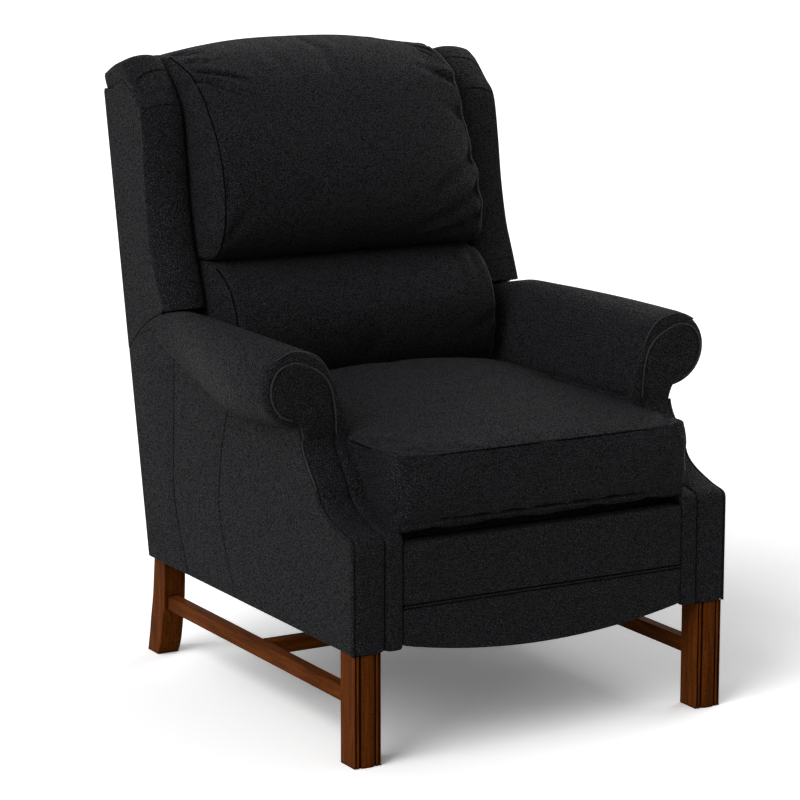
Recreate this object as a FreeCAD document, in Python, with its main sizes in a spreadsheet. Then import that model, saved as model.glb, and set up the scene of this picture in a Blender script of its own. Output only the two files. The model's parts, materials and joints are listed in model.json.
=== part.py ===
import FreeCAD, Part
import math
import os
import Sketcher

# A wing-back recliner in dark leather on square wooden legs with stretchers.
# Millimetres. X runs to the viewer's right, Y to the back, Z up.
# The frame's origin is on the floor, at the middle of the chair's outline.

VEC = FreeCAD.Vector

# Every length that can be set by itself, in millimetres, and every angle in degrees
SIZES = {
    # Place of the legs' front faces ahead of the origin
    "front_reach": 449,
    # Upholstered body
    "arm_inner_span": 570,
    "arm_width": 72,
    "rear_depth": 758,
    # Front legs and their moulded faces
    "leg_inset": 2,
    "leg_side": 48.4,
    "leg_height": 186,
    "bead_width": 6,
    "groove_width": 2.4,
    "groove_depth": 1.8,
    "bead_radius": 0.75,
    # Rear legs
    "rear_leg_inset": 16,
    "rear_leg_side": 42,
    "rear_leg_step": 32,
    "rear_leg_kick": 34,
    "rear_leg_bow": 9,
    "rear_leg_back_bow": 5,
    # Stretchers
    "stretcher_height": 26,
    "stretcher_thickness": 22,
    "stretcher_lift": 88,
    "stretcher_inset": 22,
    "stretcher_radius": 2.5,
    "cross_depth": 380,
    # Seat
    "seat_gap": 0.3,
    "deck_lift": 166,
    "deck_thickness": 28,
    "deck_side_gap": 6,
    "deck_rear_gap": 24,
    "rail_setback": 60,
    "cushion_side_gap": 7,
    "cushion_rear_lap": 6,
    "cushion_setback": 3,
    "cushion_side_height": 121,
    "cushion_rear_height": 128,
    "cushion_crown": 34,
    "cushion_arch": 8,
    "cushion_bulge": 16,
    "cushion_side_bulge": 6,
    # Arms
    "arm_rise": 120,
    "arm_front_depth": 165,
    "arm_back_step": 55,
    "sweep_depth": 184,
    "knee_depth": 115,
    "knee_rise": 49,
    "toe_drop": 4,
    "toe_step": 4,
    "sweep_hollow": 10,
    "sweep_belly": 4,
    "post_proud": 3,
    "post_depth": 25,
    "post_lap": 16,
    "strip_lap": 16,
    "strip_drop": 2,
    "facing_thickness": 8,
    "facing_inset": 7,
    "roll_height": 155,
    "roll_overhang": 73,
    "roll_inner_rise": 64,
    "roll_wrap": 59,
    # Pivot of the back, and the arc on which the wings part from the arms
    "pivot_ahead": 158,
    "pivot_drop": 17,
    "pivot_radius": 6,
    "bearing_radius": 16,
    "split_radius": 314,
    "split_gap": 0.4,
    "split_cut_turn": 30,
    # Base rails
    "rail_thickness": 30,
    "rail_lift": 2,
    "end_rail_thickness": 25,
    "front_rail_height": 60,
    "front_rail_step": 15,
    "rear_rail_height": 70,
    # Back
    "back_side_gap": 7,
    "back_cover_thickness": 14,
    "back_cover_lip": 19,
    "back_frame_depth": 45,
    "upright_width": 36,
    "upright_lift": 114,
    "upright_height": 718,
    "back_rail_height": 60,
    "waist_rail_lift": 300,
    # Wings
    "wing_settle": 9,
    "wing_height": 429,
    "wing_depth": 183,
    "wing_roll_width": 46,
    "wing_radius": 20,
    # Back pillows
    "pillow_side_gap": 16,
    "pillow_clearance": 1,
    "lumbar_lift": 131,
    "lumbar_height": 205,
    "lumbar_depth": 259,
    "lumbar_bulge": 22,
    "head_gap": 4,
    "head_rise": 18,
    "head_depth": 246,
    "head_bulge": 30,
    "head_crown": 32,
    "head_hook_gap": 4,
    "head_hook_depth": 6,
    # Footrest panel
    "panel_gap": 3,
    "panel_drop": 22,
    "panel_top_gap": 2,
    "panel_bow": 29,
    "pad_thickness": 33,
    "pad_proud": 5,
    "pad_radius": 9,
    "board_thickness": 12,
    "board_margin": 12,
    # Footrest linkage, flat steel
    "plate_thickness": 3,
    "link_gap": 2,
    "plate_gap": 3,
    "link_length": 130,
    "link_width": 18,
    "pin_radius": 4,
    "pin_clearance": 0.05,
    "open_clearance": 0.4,
    "linkage_depth": 150,
    "linkage_drop": 34,
    "linkage_tilt_degrees": 8,
    "linkage_fold_degrees": 80,
    "linkage_reach_degrees": 18,
    "plate_margin": 6,
    "plate_top_gap": 1,
    "tube_radius": 9,
    "bracket_rise": 105,
    # Overrun of cuts
    "overrun": 5,
}

# Slope of the chair's rear line, run for each unit of rise
LEAN_SHARE = 0.19

# The wing's front edge from foot to top: forward reach and height, as shares
WING_EDGE_SHARES = [
    (1.0, 0.012), (0.965, 0.09), (0.882, 0.26), (0.866, 0.42), (0.887, 0.615),
    (0.89, 0.79), (0.80, 0.875), (0.66, 0.94), (0.507, 1.0),
]
WING_BACK_SHARE = 0.925
WING_SEAM_RISE_SHARE = 0.965

# Stations along the arm roll, from front to back: place, overhang and crease height, as shares
ROLL_SHARES = [
    (0.0, 1.0, 0.17), (0.25, 0.95, 0.085), (0.5, 0.70, 0.06), (0.78, 0.30, 0.26), (1.0, 0.04, 0.42),
]

# Stations across a cushion from side to side, and how full each one is, as shares
CROWN_SHARES = [(-1.0, 0.0), (-0.66, 0.72), (0.0, 1.0), (0.66, 0.72), (1.0, 0.0)]

# Stations across a wing's front roll, and how far forward each one comes, as shares
ROLL_ROUND_SHARES = [(-1.0, 0.0), (-0.8, 0.62), (0.0, 1.0), (0.8, 0.62), (1.0, 0.0)]

# Front curve of the lumbar pillow from its foot: reach and height, as shares
LUMBAR_EDGE_SHARES = [(0.857, 0.0), (0.975, 0.3), (1.0, 0.585), (0.93, 0.82), (0.745, 0.99)]

# Front curve of the head pillow from its foot: reach and height, as shares
HEAD_EDGE_SHARES = [(0.81, 0.015), (1.0, 0.24), (0.985, 0.50), (0.91, 0.74), (0.70, 0.905)]
HEAD_TOP_SHARE = 0.36

doc = FreeCAD.newDocument("Recliner")
sheet = doc.addObject("Spreadsheet::Sheet", "Sizes")
for row, (alias, number) in enumerate(SIZES.items(), start=1):
    sheet.set("A%d" % row, alias)
    sheet.set("B%d" % row, str(number))
    sheet.setAlias("B%d" % row, alias)
doc.recompute()


class Size:
    """A number together with the spreadsheet expression that gives it."""

    def __init__(self, number, text):
        self.number = float(number)
        self.text = text

    def __add__(self, other):
        other = as_size(other)
        return Size(self.number + other.number, "(%s + %s)" % (self.text, other.text))

    def __sub__(self, other):
        other = as_size(other)
        return Size(self.number - other.number, "(%s - %s)" % (self.text, other.text))

    def __mul__(self, other):
        other = as_size(other)
        return Size(self.number * other.number, "(%s * %s)" % (self.text, other.text))

    def __truediv__(self, other):
        other = as_size(other)
        return Size(self.number / other.number, "(%s / %s)" % (self.text, other.text))

    def __neg__(self):
        return Size(-self.number, "(-1 * %s)" % self.text)


def as_size(value):
    if isinstance(value, Size):
        return value
    return Size(value, "%.12g" % value)


def named(alias):
    return Size(sheet.get(alias), "Sizes.%s" % alias)


def root(value):
    return Size(math.sqrt(value.number), "sqrt(%s)" % value.text)


def cosine(angle):
    return Size(math.cos(math.radians(angle.number)), "cos(%s)" % angle.text)


def sine(angle):
    return Size(math.sin(math.radians(angle.number)), "sin(%s)" % angle.text)


# Sizes by name, and places worked out from them
N = {alias: named(alias) for alias in SIZES}
front = -N["front_reach"]
floor_gap = N["leg_height"]
arm_inner = N["arm_inner_span"] / 2
arm_outer = arm_inner + N["arm_width"]
deck_low = floor_gap + N["deck_lift"]
deck_top = deck_low + N["deck_thickness"]
cushion_low = deck_top + N["seat_gap"]
arm_z = deck_top + N["arm_rise"]
pivot_y = front + N["rear_depth"] - N["pivot_ahead"]
pivot_z = deck_low - N["pivot_drop"]
rail_inner = arm_inner - N["rail_thickness"]
rail_low = floor_gap + N["rail_lift"]
rail_top = deck_low - N["seat_gap"]
plate_outer = rail_inner
plate_inner = plate_outer - N["plate_thickness"]
plate_far = pivot_y + N["bearing_radius"]
rail_far = plate_far + N["end_rail_thickness"]
b_outer = plate_inner - N["plate_gap"]
b_inner = b_outer - N["plate_thickness"]
a_outer = b_inner - N["link_gap"]
a_inner = a_outer - N["plate_thickness"]
bracket_outer = a_inner - N["link_gap"]
bracket_inner = bracket_outer - N["plate_thickness"]
back_half = arm_inner - N["back_side_gap"]
upright_low = floor_gap + N["upright_lift"]
upright_top = upright_low + N["upright_height"]
back_cover_top = upright_top + N["back_cover_lip"]
wing_low = pivot_z + N["split_radius"] - N["wing_settle"]
pillow_half = back_half - N["pillow_side_gap"]
lumbar_low = deck_top + N["lumbar_lift"]
lumbar_top = lumbar_low + N["lumbar_height"]
strip_inner = arm_inner - N["strip_lap"]
post_seam = arm_inner + N["post_lap"]
footrest_half = strip_inner - N["panel_gap"]
footrest_low = floor_gap - N["panel_drop"]
footrest_top = deck_low - N["panel_top_gap"]


def deep(alias):
    """Distance back from the legs' front faces, as a place on Y."""
    return front + N[alias]


def rear_line(height, forward):
    """Place on Y at a height, a distance ahead of the chair's rear line."""
    run = (height - floor_gap) * LEAN_SHARE
    return front + N["rear_depth"] + run - forward


def bow_radius(start, end, bow):
    """Radius of the arc over a chord with a given rise."""
    run = end[0] - start[0]
    rise = end[1] - start[1]
    half_square = (run * run + rise * rise) / 4
    return (half_square + bow * bow) / (bow * 2)


PIECES = []


def keep(item, label):
    item.Label = label
    PIECES.append(item)
    return item


def origin_plane(body, role):
    return [plane for plane in body.Origin.OriginFeatures if plane.Role == role][0]


def draw(body, name, role, corners, arcs):
    """A closed outline on one of the body's planes, each corner tied to the sheet.

    An entry of arcs gives an edge's radius and its side: 1 swells, -1 hollows."""
    sketch = body.newObject("Sketcher::SketchObject", name)
    sketch.AttachmentSupport = [(origin_plane(body, role), "")]
    sketch.MapMode = "FlatFace"
    count = len(corners)
    spots = [VEC(across.number, along.number, 0) for across, along in corners]
    starts = []
    for i in range(count):
        here = spots[i]
        there = spots[(i + 1) % count]
        if i not in arcs:
            sketch.addGeometry(Part.LineSegment(here, there), False)
            starts.append((1, 2))
            continue
        radius, side = arcs[i]
        chord = there - here
        left = VEC(-chord.y, chord.x, 0) / chord.Length
        away = math.sqrt(radius.number ** 2 - chord.Length ** 2 / 4)
        centre = (here + there) / 2 + left * away * side
        first, last = (here, there) if side > 0 else (there, here)
        turn_from = math.atan2(first.y - centre.y, first.x - centre.x)
        turn_to = math.atan2(last.y - centre.y, last.x - centre.x)
        circle = Part.Circle(centre, VEC(0, 0, 1), radius.number)
        sketch.addGeometry(Part.ArcOfCircle(circle, turn_from, turn_to), False)
        starts.append((1, 2) if side > 0 else (2, 1))
    for i in range(count):
        j = (i + 1) % count
        sketch.addConstraint(Sketcher.Constraint("Coincident", i, starts[i][1], j, starts[j][0]))
    for i in range(count):
        for kind, value in (("DistanceX", corners[i][0]), ("DistanceY", corners[i][1])):
            rule = Sketcher.Constraint(kind, -1, 1, i, starts[i][0], value.number)
            index = sketch.addConstraint(rule)
            sketch.setExpression("Constraints[%d]" % index, value.text)
    for i, (radius, side) in arcs.items():
        index = sketch.addConstraint(Sketcher.Constraint("Radius", i, radius.number))
        sketch.setExpression("Constraints[%d]" % index, radius.text)
    return sketch


def ring(body, name, role, spots, radius):
    """Circles of one radius on one of the body's planes."""
    sketch = body.newObject("Sketcher::SketchObject", name)
    sketch.AttachmentSupport = [(origin_plane(body, role), "")]
    sketch.MapMode = "FlatFace"
    for i, (across, along) in enumerate(spots):
        spot = VEC(across.number, along.number, 0)
        sketch.addGeometry(Part.Circle(spot, VEC(0, 0, 1), radius.number), False)
        for kind, value in (("DistanceX", across), ("DistanceY", along)):
            index = sketch.addConstraint(Sketcher.Constraint(kind, -1, 1, i, 3, value.number))
            sketch.setExpression("Constraints[%d]" % index, value.text)
        index = sketch.addConstraint(Sketcher.Constraint("Radius", i, radius.number))
        sketch.setExpression("Constraints[%d]" % index, radius.text)
    return sketch


def pad(body, name, sketch, length, other_way=False):
    feature = body.newObject("PartDesign::Pad", name)
    feature.Profile = sketch
    feature.setExpression("Length", length.text)
    feature.Reversed = other_way
    return feature


def cut(body, name, sketch, length, other_way):
    """A pocket that has to take something away."""
    doc.recompute()
    before = body.Shape.Volume
    feature = body.newObject("PartDesign::Pocket", name)
    feature.Profile = sketch
    feature.setExpression("Length", length.text)
    feature.Reversed = other_way
    doc.recompute()
    if body.Shape.Volume > before * 0.99999:
        raise ValueError("%s took nothing from %s" % (name, body.Label))
    return feature


def soften(body, name, feature, radius, choose):
    """Rounds the edges of a feature that the choice picks."""
    doc.recompute()
    edges = feature.Shape.Edges
    names = ["Edge%d" % (i + 1) for i, edge in enumerate(edges) if choose(edge)]
    fillet = body.newObject("PartDesign::Fillet", name)
    fillet.Base = (feature, names)
    fillet.setExpression("Radius", radius.text)
    return fillet


def new_body(label):
    body = doc.addObject("PartDesign::Body", label)
    return keep(body, label)


def slab(label, corners, arcs, low, thick):
    """A plate whose outline lies in the chair's side view, from one X place over its thickness."""
    body = new_body(label)
    sketch = draw(body, label + "_outline", "YZ_Plane", corners, arcs)
    feature = pad(body, label + "_pad", sketch, thick)
    body.setExpression("Placement.Base.x", low.text)
    return body, feature


def box(label, x_low, x_high, y_low, y_high, z_low, z_high):
    """A squared timber between six places."""
    item = doc.addObject("Part::Box", label)
    for prop, size in (
        ("Length", x_high - x_low), ("Width", y_high - y_low), ("Height", z_high - z_low),
        ("Placement.Base.x", x_low), ("Placement.Base.y", y_low), ("Placement.Base.z", z_low),
    ):
        item.setExpression(prop, size.text)
    return keep(item, label)


def sides(inner, outer):
    """The two mirror spans between an inner and an outer distance from the middle."""
    return (("left", -outer, -inner), ("right", inner, outer))


def upright_edge(edge):
    return abs(edge.tangentAt(edge.FirstParameter).z) > 0.99


# Front legs: square, with a bead, a groove and a broad face on the front
leg_outer = arm_outer - N["leg_inset"]
leg_inner = leg_outer - N["leg_side"]
for side, low, high in sides(leg_inner, leg_outer):
    body = new_body("front_leg_" + side)
    leg_back = deep("leg_side")
    corners = [(low, front), (high, front), (high, leg_back), (low, leg_back)]
    sketch = draw(body, "front_leg_outline_" + side, "XY_Plane", corners, {})
    leg = pad(body, "front_leg_pad_" + side, sketch, N["leg_height"])
    groove_floor = front + N["groove_depth"]
    over = N["overrun"]
    for tag, start in (
        ("a", low + N["bead_width"]), ("b", high - N["bead_width"] - N["groove_width"]),
    ):
        end = start + N["groove_width"]
        corners = [(start, front - over), (end, front - over), (end, groove_floor), (start, groove_floor)]
        sketch = draw(body, "groove_outline_%s_%s" % (side, tag), "XY_Plane", corners, {})
        leg = cut(body, "groove_%s_%s" % (side, tag), sketch, N["leg_height"], True)
    soften(body, "front_leg_round_" + side, leg, N["bead_radius"],
           lambda edge: upright_edge(edge) and edge.CenterOfMass.y < (front + N["groove_depth"] / 2).number)

# Rear legs: sabre-shaped, kicked back at the foot
rear_outer = arm_outer - N["rear_leg_inset"]
rear_inner = rear_outer - N["rear_leg_side"]
top_front = (deep("rear_depth") - N["rear_leg_step"], N["leg_height"])
top_rear = (top_front[0] + N["rear_leg_side"], N["leg_height"])
foot_front = (top_front[0] + N["rear_leg_kick"], Size(0, "0"))
foot_rear = (top_rear[0] + N["rear_leg_kick"], Size(0, "0"))
front_bow = bow_radius(top_front, foot_front, N["rear_leg_bow"])
rear_bow = bow_radius(foot_rear, top_rear, N["rear_leg_back_bow"])
for side, low, high in sides(rear_inner, rear_outer):
    corners = [top_front, foot_front, foot_rear, top_rear]
    slab("rear_leg_" + side, corners, {0: (front_bow, 1), 2: (rear_bow, -1)}, low, N["rear_leg_side"])

# Stretchers: one on each side from leg to leg, and one across
stretcher_outer = leg_outer - N["stretcher_inset"]
stretcher_inner = stretcher_outer - N["stretcher_thickness"]
stretcher_top = N["stretcher_lift"] + N["stretcher_height"]


def rear_leg_face(height):
    """Place on Y of the rear leg's curved front face at a height."""
    centre_run = foot_front[0] - top_front[0]
    half_chord = (centre_run * centre_run + N["leg_height"] * N["leg_height"]) / 4
    away = root(front_bow * front_bow - half_chord)
    chord_long = root(half_chord * 4)
    centre_y = (top_front[0] + foot_front[0]) / 2 + away * N["leg_height"] / chord_long
    centre_z = N["leg_height"] / 2 + away * centre_run / chord_long
    drop = height - centre_z
    return centre_y - root(front_bow * front_bow - drop * drop)


rear_face_low = rear_leg_face(N["stretcher_lift"])
rear_face_top = rear_leg_face(stretcher_top)
for side, low, high in sides(stretcher_inner, stretcher_outer):
    near = deep("leg_side")
    corners = [
        (near, N["stretcher_lift"]), (rear_face_low, N["stretcher_lift"]),
        (rear_face_top, stretcher_top), (near, stretcher_top),
    ]
    body, bar = slab("side_stretcher_" + side, corners, {1: (front_bow, -1)}, low, N["stretcher_thickness"])
    soften(body, "side_stretcher_round_" + side, bar, N["stretcher_radius"],
           lambda edge: edge.BoundBox.YLength > N["cross_depth"].number)

body = new_body("cross_stretcher")
cross_near = deep("cross_depth")
cross_far = cross_near + N["stretcher_thickness"]
corners = [
    (cross_near, N["stretcher_lift"]), (cross_far, N["stretcher_lift"]),
    (cross_far, stretcher_top), (cross_near, stretcher_top),
]
sketch = draw(body, "cross_stretcher_outline", "YZ_Plane", corners, {})
bar = pad(body, "cross_stretcher_pad", sketch, stretcher_inner * 2)
body.setExpression("Placement.Base.x", (-stretcher_inner).text)
soften(body, "cross_stretcher_round", bar, N["stretcher_radius"],
       lambda edge: edge.BoundBox.XLength > N["stretcher_thickness"].number * 2)

# Arm boxes: an outer and an inner padded panel, cut back round the wing's swing
sweep_rear = deep("sweep_depth")
arm_rear = pivot_y + N["arm_back_step"]
split_inside = N["split_radius"] - N["split_gap"]
arm_step = arm_rear - pivot_y
split_start = (arm_rear, pivot_z + root(split_inside * split_inside - arm_step * arm_step))
split_end_angle = N["split_cut_turn"]
split_end = (pivot_y + split_inside * cosine(split_end_angle), pivot_z + split_inside * sine(split_end_angle))
arm_peak = wing_low + N["roll_wrap"]
arm_outline = [
    (sweep_rear, floor_gap), (rear_line(floor_gap, 0), floor_gap), (rear_line(arm_peak, 0), arm_peak),
    (arm_rear, arm_peak), (arm_rear, arm_z), (sweep_rear, arm_z),
]
cut_far = split_end[0] + N["overrun"]
cut_high = arm_peak + N["overrun"]
cut_near = arm_rear - N["overrun"]
cut_outline = [
    (cut_near, split_start[1]), split_start, split_end,
    (cut_far, split_end[1]), (cut_far, cut_high), (cut_near, cut_high),
]
arm_middle = (arm_inner + arm_outer) / 2
layers = (("outside_arm_", arm_middle, arm_outer), ("inside_arm_", arm_inner, arm_middle))
for stem, inner, outer in layers:
    for side, low, high in sides(inner, outer):
        body, panel = slab(stem + side, arm_outline, {}, low, high - low)
        sketch = draw(body, stem + "swing_" + side, "YZ_Plane", cut_outline, {1: (split_inside, -1)})
        cut(body, stem + "cut_" + side, sketch, high - low, True)

# Front of each arm: a block with the swept front, and the squared post and strip below it
post_back = front - N["post_proud"] + N["post_depth"]
toe_z = deck_top - N["toe_drop"]
post_top = toe_z - N["toe_step"]
knee = (deep("knee_depth"), toe_z + N["knee_rise"])
crown_front = (deep("arm_front_depth"), arm_z)
toe = (front, toe_z)
sweep_outline = [
    (post_back, floor_gap), (sweep_rear, floor_gap), (sweep_rear, arm_z), crown_front,
    knee, toe, (front, post_top), (post_back, post_top),
]
sweep_arcs = {
    3: (bow_radius(crown_front, knee, N["sweep_belly"]), 1),
    4: (bow_radius(knee, toe, N["sweep_hollow"]), -1),
}
for side, low, high in sides(arm_inner, arm_outer):
    slab("arm_sweep_" + side, sweep_outline, sweep_arcs, low, high - low)

post_front = front - N["post_proud"]
for side, low, high in sides(post_seam, arm_outer + N["post_proud"]):
    box("front_post_" + side, low, high, post_front, post_back, floor_gap, post_top)
for side, low, high in sides(strip_inner, post_seam):
    box("post_strip_" + side, low, high, post_front, post_back, floor_gap, post_top - N["strip_drop"])


def spot(x, y, z):
    return VEC(x, y, z)


def chain(points, curved):
    """A closed wire: straight edges, and arcs through the middle point of each curved triple."""
    edges = []
    i = 0
    count = len(points)
    while i < count:
        here = points[i]
        if i in curved:
            middle = points[(i + 1) % count]
            there = points[(i + 2) % count]
            edges.append(Part.Arc(here, middle, there).toShape())
            i += 2
        else:
            edges.append(Part.LineSegment(here, points[(i + 1) % count]).toShape())
            i += 1
    return Part.Wire(edges)


def sculpted(label, shape):
    """A soft piece whose form comes from sections."""
    if not shape.isValid() or shape.Volume <= 0:
        raise ValueError("%s came out broken" % label)
    item = doc.addObject("Part::Feature", label)
    item.Shape = shape
    item.Placement = FreeCAD.Placement(VEC(0, 0, 0), FreeCAD.Rotation())
    return keep(item, label)


# Arm rolls: a scroll at the front that sinks into the arm's side towards the wing
def roll_section(hand, y, overhang_share, crease_share, inset):
    overhang = N["roll_overhang"].number * overhang_share
    crease = arm_z.number + N["roll_height"].number * crease_share + inset
    low = arm_z.number + inset
    top = arm_z.number + N["roll_height"].number - inset
    inner = arm_inner.number + inset
    side_face = arm_outer.number - inset
    outer = arm_outer.number + overhang - inset
    crest = (inner + outer) / 2
    shoulder = low + N["roll_inner_rise"].number
    wrap = top - N["roll_wrap"].number
    bend = math.sqrt(0.5)
    inner_bend = spot(hand * (crest - (crest - inner) * bend), y, shoulder + (top - shoulder) * bend)
    outer_bend = spot(hand * (crest + (outer - crest) * bend), y, wrap + (top - wrap) * bend)
    under = spot(hand * (side_face + (outer - side_face) * bend), y, wrap - (wrap - crease) * bend)
    return chain([
        spot(hand * inner, y, low), spot(hand * inner, y, shoulder), inner_bend,
        spot(hand * crest, y, top), outer_bend, spot(hand * outer, y, wrap),
        under, spot(hand * side_face, y, crease), spot(hand * side_face, y, low),
    ], {1, 3, 5})


roll_start = deep("arm_front_depth").number
roll_long = (arm_rear - deep("arm_front_depth")).number
for side, hand in (("left", -1), ("right", 1)):
    sections = [
        roll_section(hand, roll_start + roll_long * place, overhang, crease, 0)
        for place, overhang, crease in ROLL_SHARES
    ]
    sculpted("arm_roll_" + side, Part.makeLoft(sections, True, False))
    front_share = ROLL_SHARES[0]
    face = Part.Face(roll_section(hand, roll_start, front_share[1], front_share[2], N["facing_inset"].number))
    sculpted("arm_facing_" + side, face.extrude(VEC(0, -N["facing_thickness"].number, 0)))

# Base rails between the arm boxes
rail_near = deep("rail_setback")
for side, low, high in sides(rail_inner, arm_inner):
    box("base_rail_" + side, low, high, rail_near, rail_far, rail_low, rail_top)
front_rail_near = deep("linkage_depth") + N["front_rail_step"]
front_rail_far = front_rail_near + N["end_rail_thickness"]
box("base_rail_front", -plate_inner, plate_inner, front_rail_near, front_rail_far,
    rail_low, rail_low + N["front_rail_height"])
box("base_rail_rear", -rail_inner, rail_inner, plate_far, rail_far, rail_low, rail_low + N["rear_rail_height"])

# Seat deck
deck_half = arm_inner - N["deck_side_gap"]
deck_rear = pivot_y - N["bearing_radius"] - N["deck_rear_gap"]
box("seat_deck", -deck_half, deck_half, rail_near, deck_rear, deck_low, deck_top)


# Seat cushion: crowned on top, full at the front, drawn in at the sides
def cushion_section(share, full):
    x = (arm_inner - N["cushion_side_gap"]).number * share
    low = cushion_low.number
    near = deep("cushion_setback").number
    far = (deck_rear + N["cushion_rear_lap"]).number
    crown = N["cushion_crown"].number * full
    bulge = N["cushion_side_bulge"].number + N["cushion_bulge"].number * full
    side_top = low + N["cushion_side_height"].number
    rear_top = low + N["cushion_rear_height"].number + crown
    arch_top = (side_top + rear_top) / 2 + crown / 2 + N["cushion_arch"].number
    middle = (low + side_top) / 2
    return chain([
        spot(x, near, low), spot(x, far, low), spot(x, far, rear_top),
        spot(x, (near + far) / 2, arch_top), spot(x, near, side_top), spot(x, near - bulge, middle),
    ], {2, 4})


sculpted("seat_cushion", Part.makeLoft([cushion_section(s, f) for s, f in CROWN_SHARES], True, False))

# Outside back, a leaned panel between the wings


def leaned(low, top, near, far):
    """Side view corners of a slab that leans with the back, between two distances from the rear line."""
    return [(rear_line(low, far), low), (rear_line(low, near), low), (rear_line(top, near), top),
            (rear_line(top, far), top)]


nothing = Size(0, "0")
cover_far = N["back_cover_thickness"]
frame_far = cover_far + N["back_frame_depth"]
slab("outside_back", leaned(rail_low, back_cover_top, nothing, cover_far), {}, -back_half, back_half * 2)

# Back frame: two uprights and three rails
frame_half = b_inner
upright_inner = frame_half - N["upright_width"]
for side, low, high in sides(upright_inner, frame_half):
    corners = leaned(upright_low, upright_top, cover_far, frame_far)
    slab("back_upright_" + side, corners, {}, low, N["upright_width"])
for name, low in (
    ("back_rail_low", upright_low), ("back_rail_waist", upright_low + N["waist_rail_lift"]),
    ("back_rail_top", upright_top - N["back_rail_height"]),
):
    corners = leaned(low, low + N["back_rail_height"], cover_far, frame_far)
    slab(name, corners, {}, -upright_inner, upright_inner * 2)

# Wings: a panel and a rounded front roll on each side, that end on an arc about the back's pivot
swing = N["split_radius"].number + N["split_gap"].number
pivot = (pivot_y.number, pivot_z.number)
wing_rise = N["wing_height"].number


def wing_spot(reach_share, rise_share, back_off):
    """A point of the wing's side view, moved back towards the rear line."""
    height = wing_low.number + wing_rise * rise_share
    line = N["rear_depth"].number + front.number + (height - floor_gap.number) * LEAN_SHARE
    return line - N["wing_depth"].number * reach_share + back_off, height


def on_swing(y):
    """Height of the swing arc at a place on Y."""
    return pivot[1] + math.sqrt(swing ** 2 - (y - pivot[0]) ** 2)


def swing_at_rear():
    """Where the swing arc crosses the chair's rear line."""
    slope = LEAN_SHARE
    base = N["rear_depth"].number + front.number - floor_gap.number * slope
    a = slope ** 2 + 1
    b = 2 * (slope * (base - pivot[0]) - pivot[1])
    c = (base - pivot[0]) ** 2 + pivot[1] ** 2 - swing ** 2
    height = (-b + math.sqrt(b ** 2 - 4 * a * c)) / (2 * a)
    return base + slope * height, height


def arc_middle(start, end):
    """The point half way along the swing arc between two of its points."""
    first = math.atan2(start[1] - pivot[1], start[0] - pivot[0])
    last = math.atan2(end[1] - pivot[1], end[0] - pivot[0])
    angle = (first + last) / 2
    return pivot[0] + swing * math.cos(angle), pivot[1] + swing * math.sin(angle)


def wing_edge(pull, rise_share):
    """The wing's front edge, or the seam behind its roll, from the swing arc to the top."""
    edge = [wing_spot(reach, rise * rise_share, pull) for reach, rise in WING_EDGE_SHARES]
    edge[0] = (edge[0][0], on_swing(edge[0][0]))
    return edge


def wing_panel_profile(x):
    """Side view wire of the wing behind its front roll."""
    seam = wing_edge(N["wing_roll_width"].number, WING_SEAM_RISE_SHARE)
    rear = wing_spot(0, WING_BACK_SHARE, 0)
    heel = swing_at_rear()
    points = seam + [rear, heel, arc_middle(heel, seam[0])]
    return chain([spot(x, y, z) for y, z in points], {0, 2, 4, 6, 10})


def wing_roll_profile(x, pull):
    """Side view wire of the wing's front roll, its front edge pulled back a little."""
    edge = wing_edge(pull, 1)
    seam = wing_edge(N["wing_roll_width"].number, WING_SEAM_RISE_SHARE)
    points = edge + seam[::-1] + [arc_middle(seam[0], edge[0])]
    return chain([spot(x, y, z) for y, z in points], {0, 2, 4, 6, 9, 11, 13, 15, 17})


for side, low, high in sides(back_half, arm_outer):
    depth = VEC((high - low).number, 0, 0)
    sculpted("wing_" + side, Part.Face(wing_panel_profile(low.number)).extrude(depth))
    centre = ((low + high) / 2).number
    half_wide = ((high - low) / 2).number
    sections = []
    for share, full in ROLL_ROUND_SHARES:
        pull = N["wing_radius"].number * (1 - full)
        sections.append(wing_roll_profile(centre + half_wide * share, pull))
    sculpted("wing_roll_" + side, Part.makeLoft(sections, True, False))


# Back pillows: a lumbar bolster and a head pillow that hooks over the frame's top
def back_spot(x, forward, height):
    line = N["rear_depth"].number + front.number + (height - floor_gap.number) * LEAN_SHARE
    return spot(x, line - forward, height)


pillow_rear = (frame_far + N["pillow_clearance"]).number


def lumbar_section(share, full):
    x = pillow_half.number * share
    low = lumbar_low.number
    high = lumbar_top.number
    reach = N["lumbar_depth"].number
    bulge = N["lumbar_bulge"].number * full
    points = [back_spot(x, pillow_rear, high), back_spot(x, pillow_rear, low)]
    last = len(LUMBAR_EDGE_SHARES) - 1
    for i, (ahead, rise) in enumerate(LUMBAR_EDGE_SHARES):
        extra = bulge if 0 < i < last else 0
        points.append(back_spot(x, reach * ahead + extra, low + (high - low) * rise))
    return chain(points, {2, 4})


sculpted("lumbar_pillow", Part.makeLoft([lumbar_section(s, f) for s, f in CROWN_SHARES], True, False))


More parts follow.
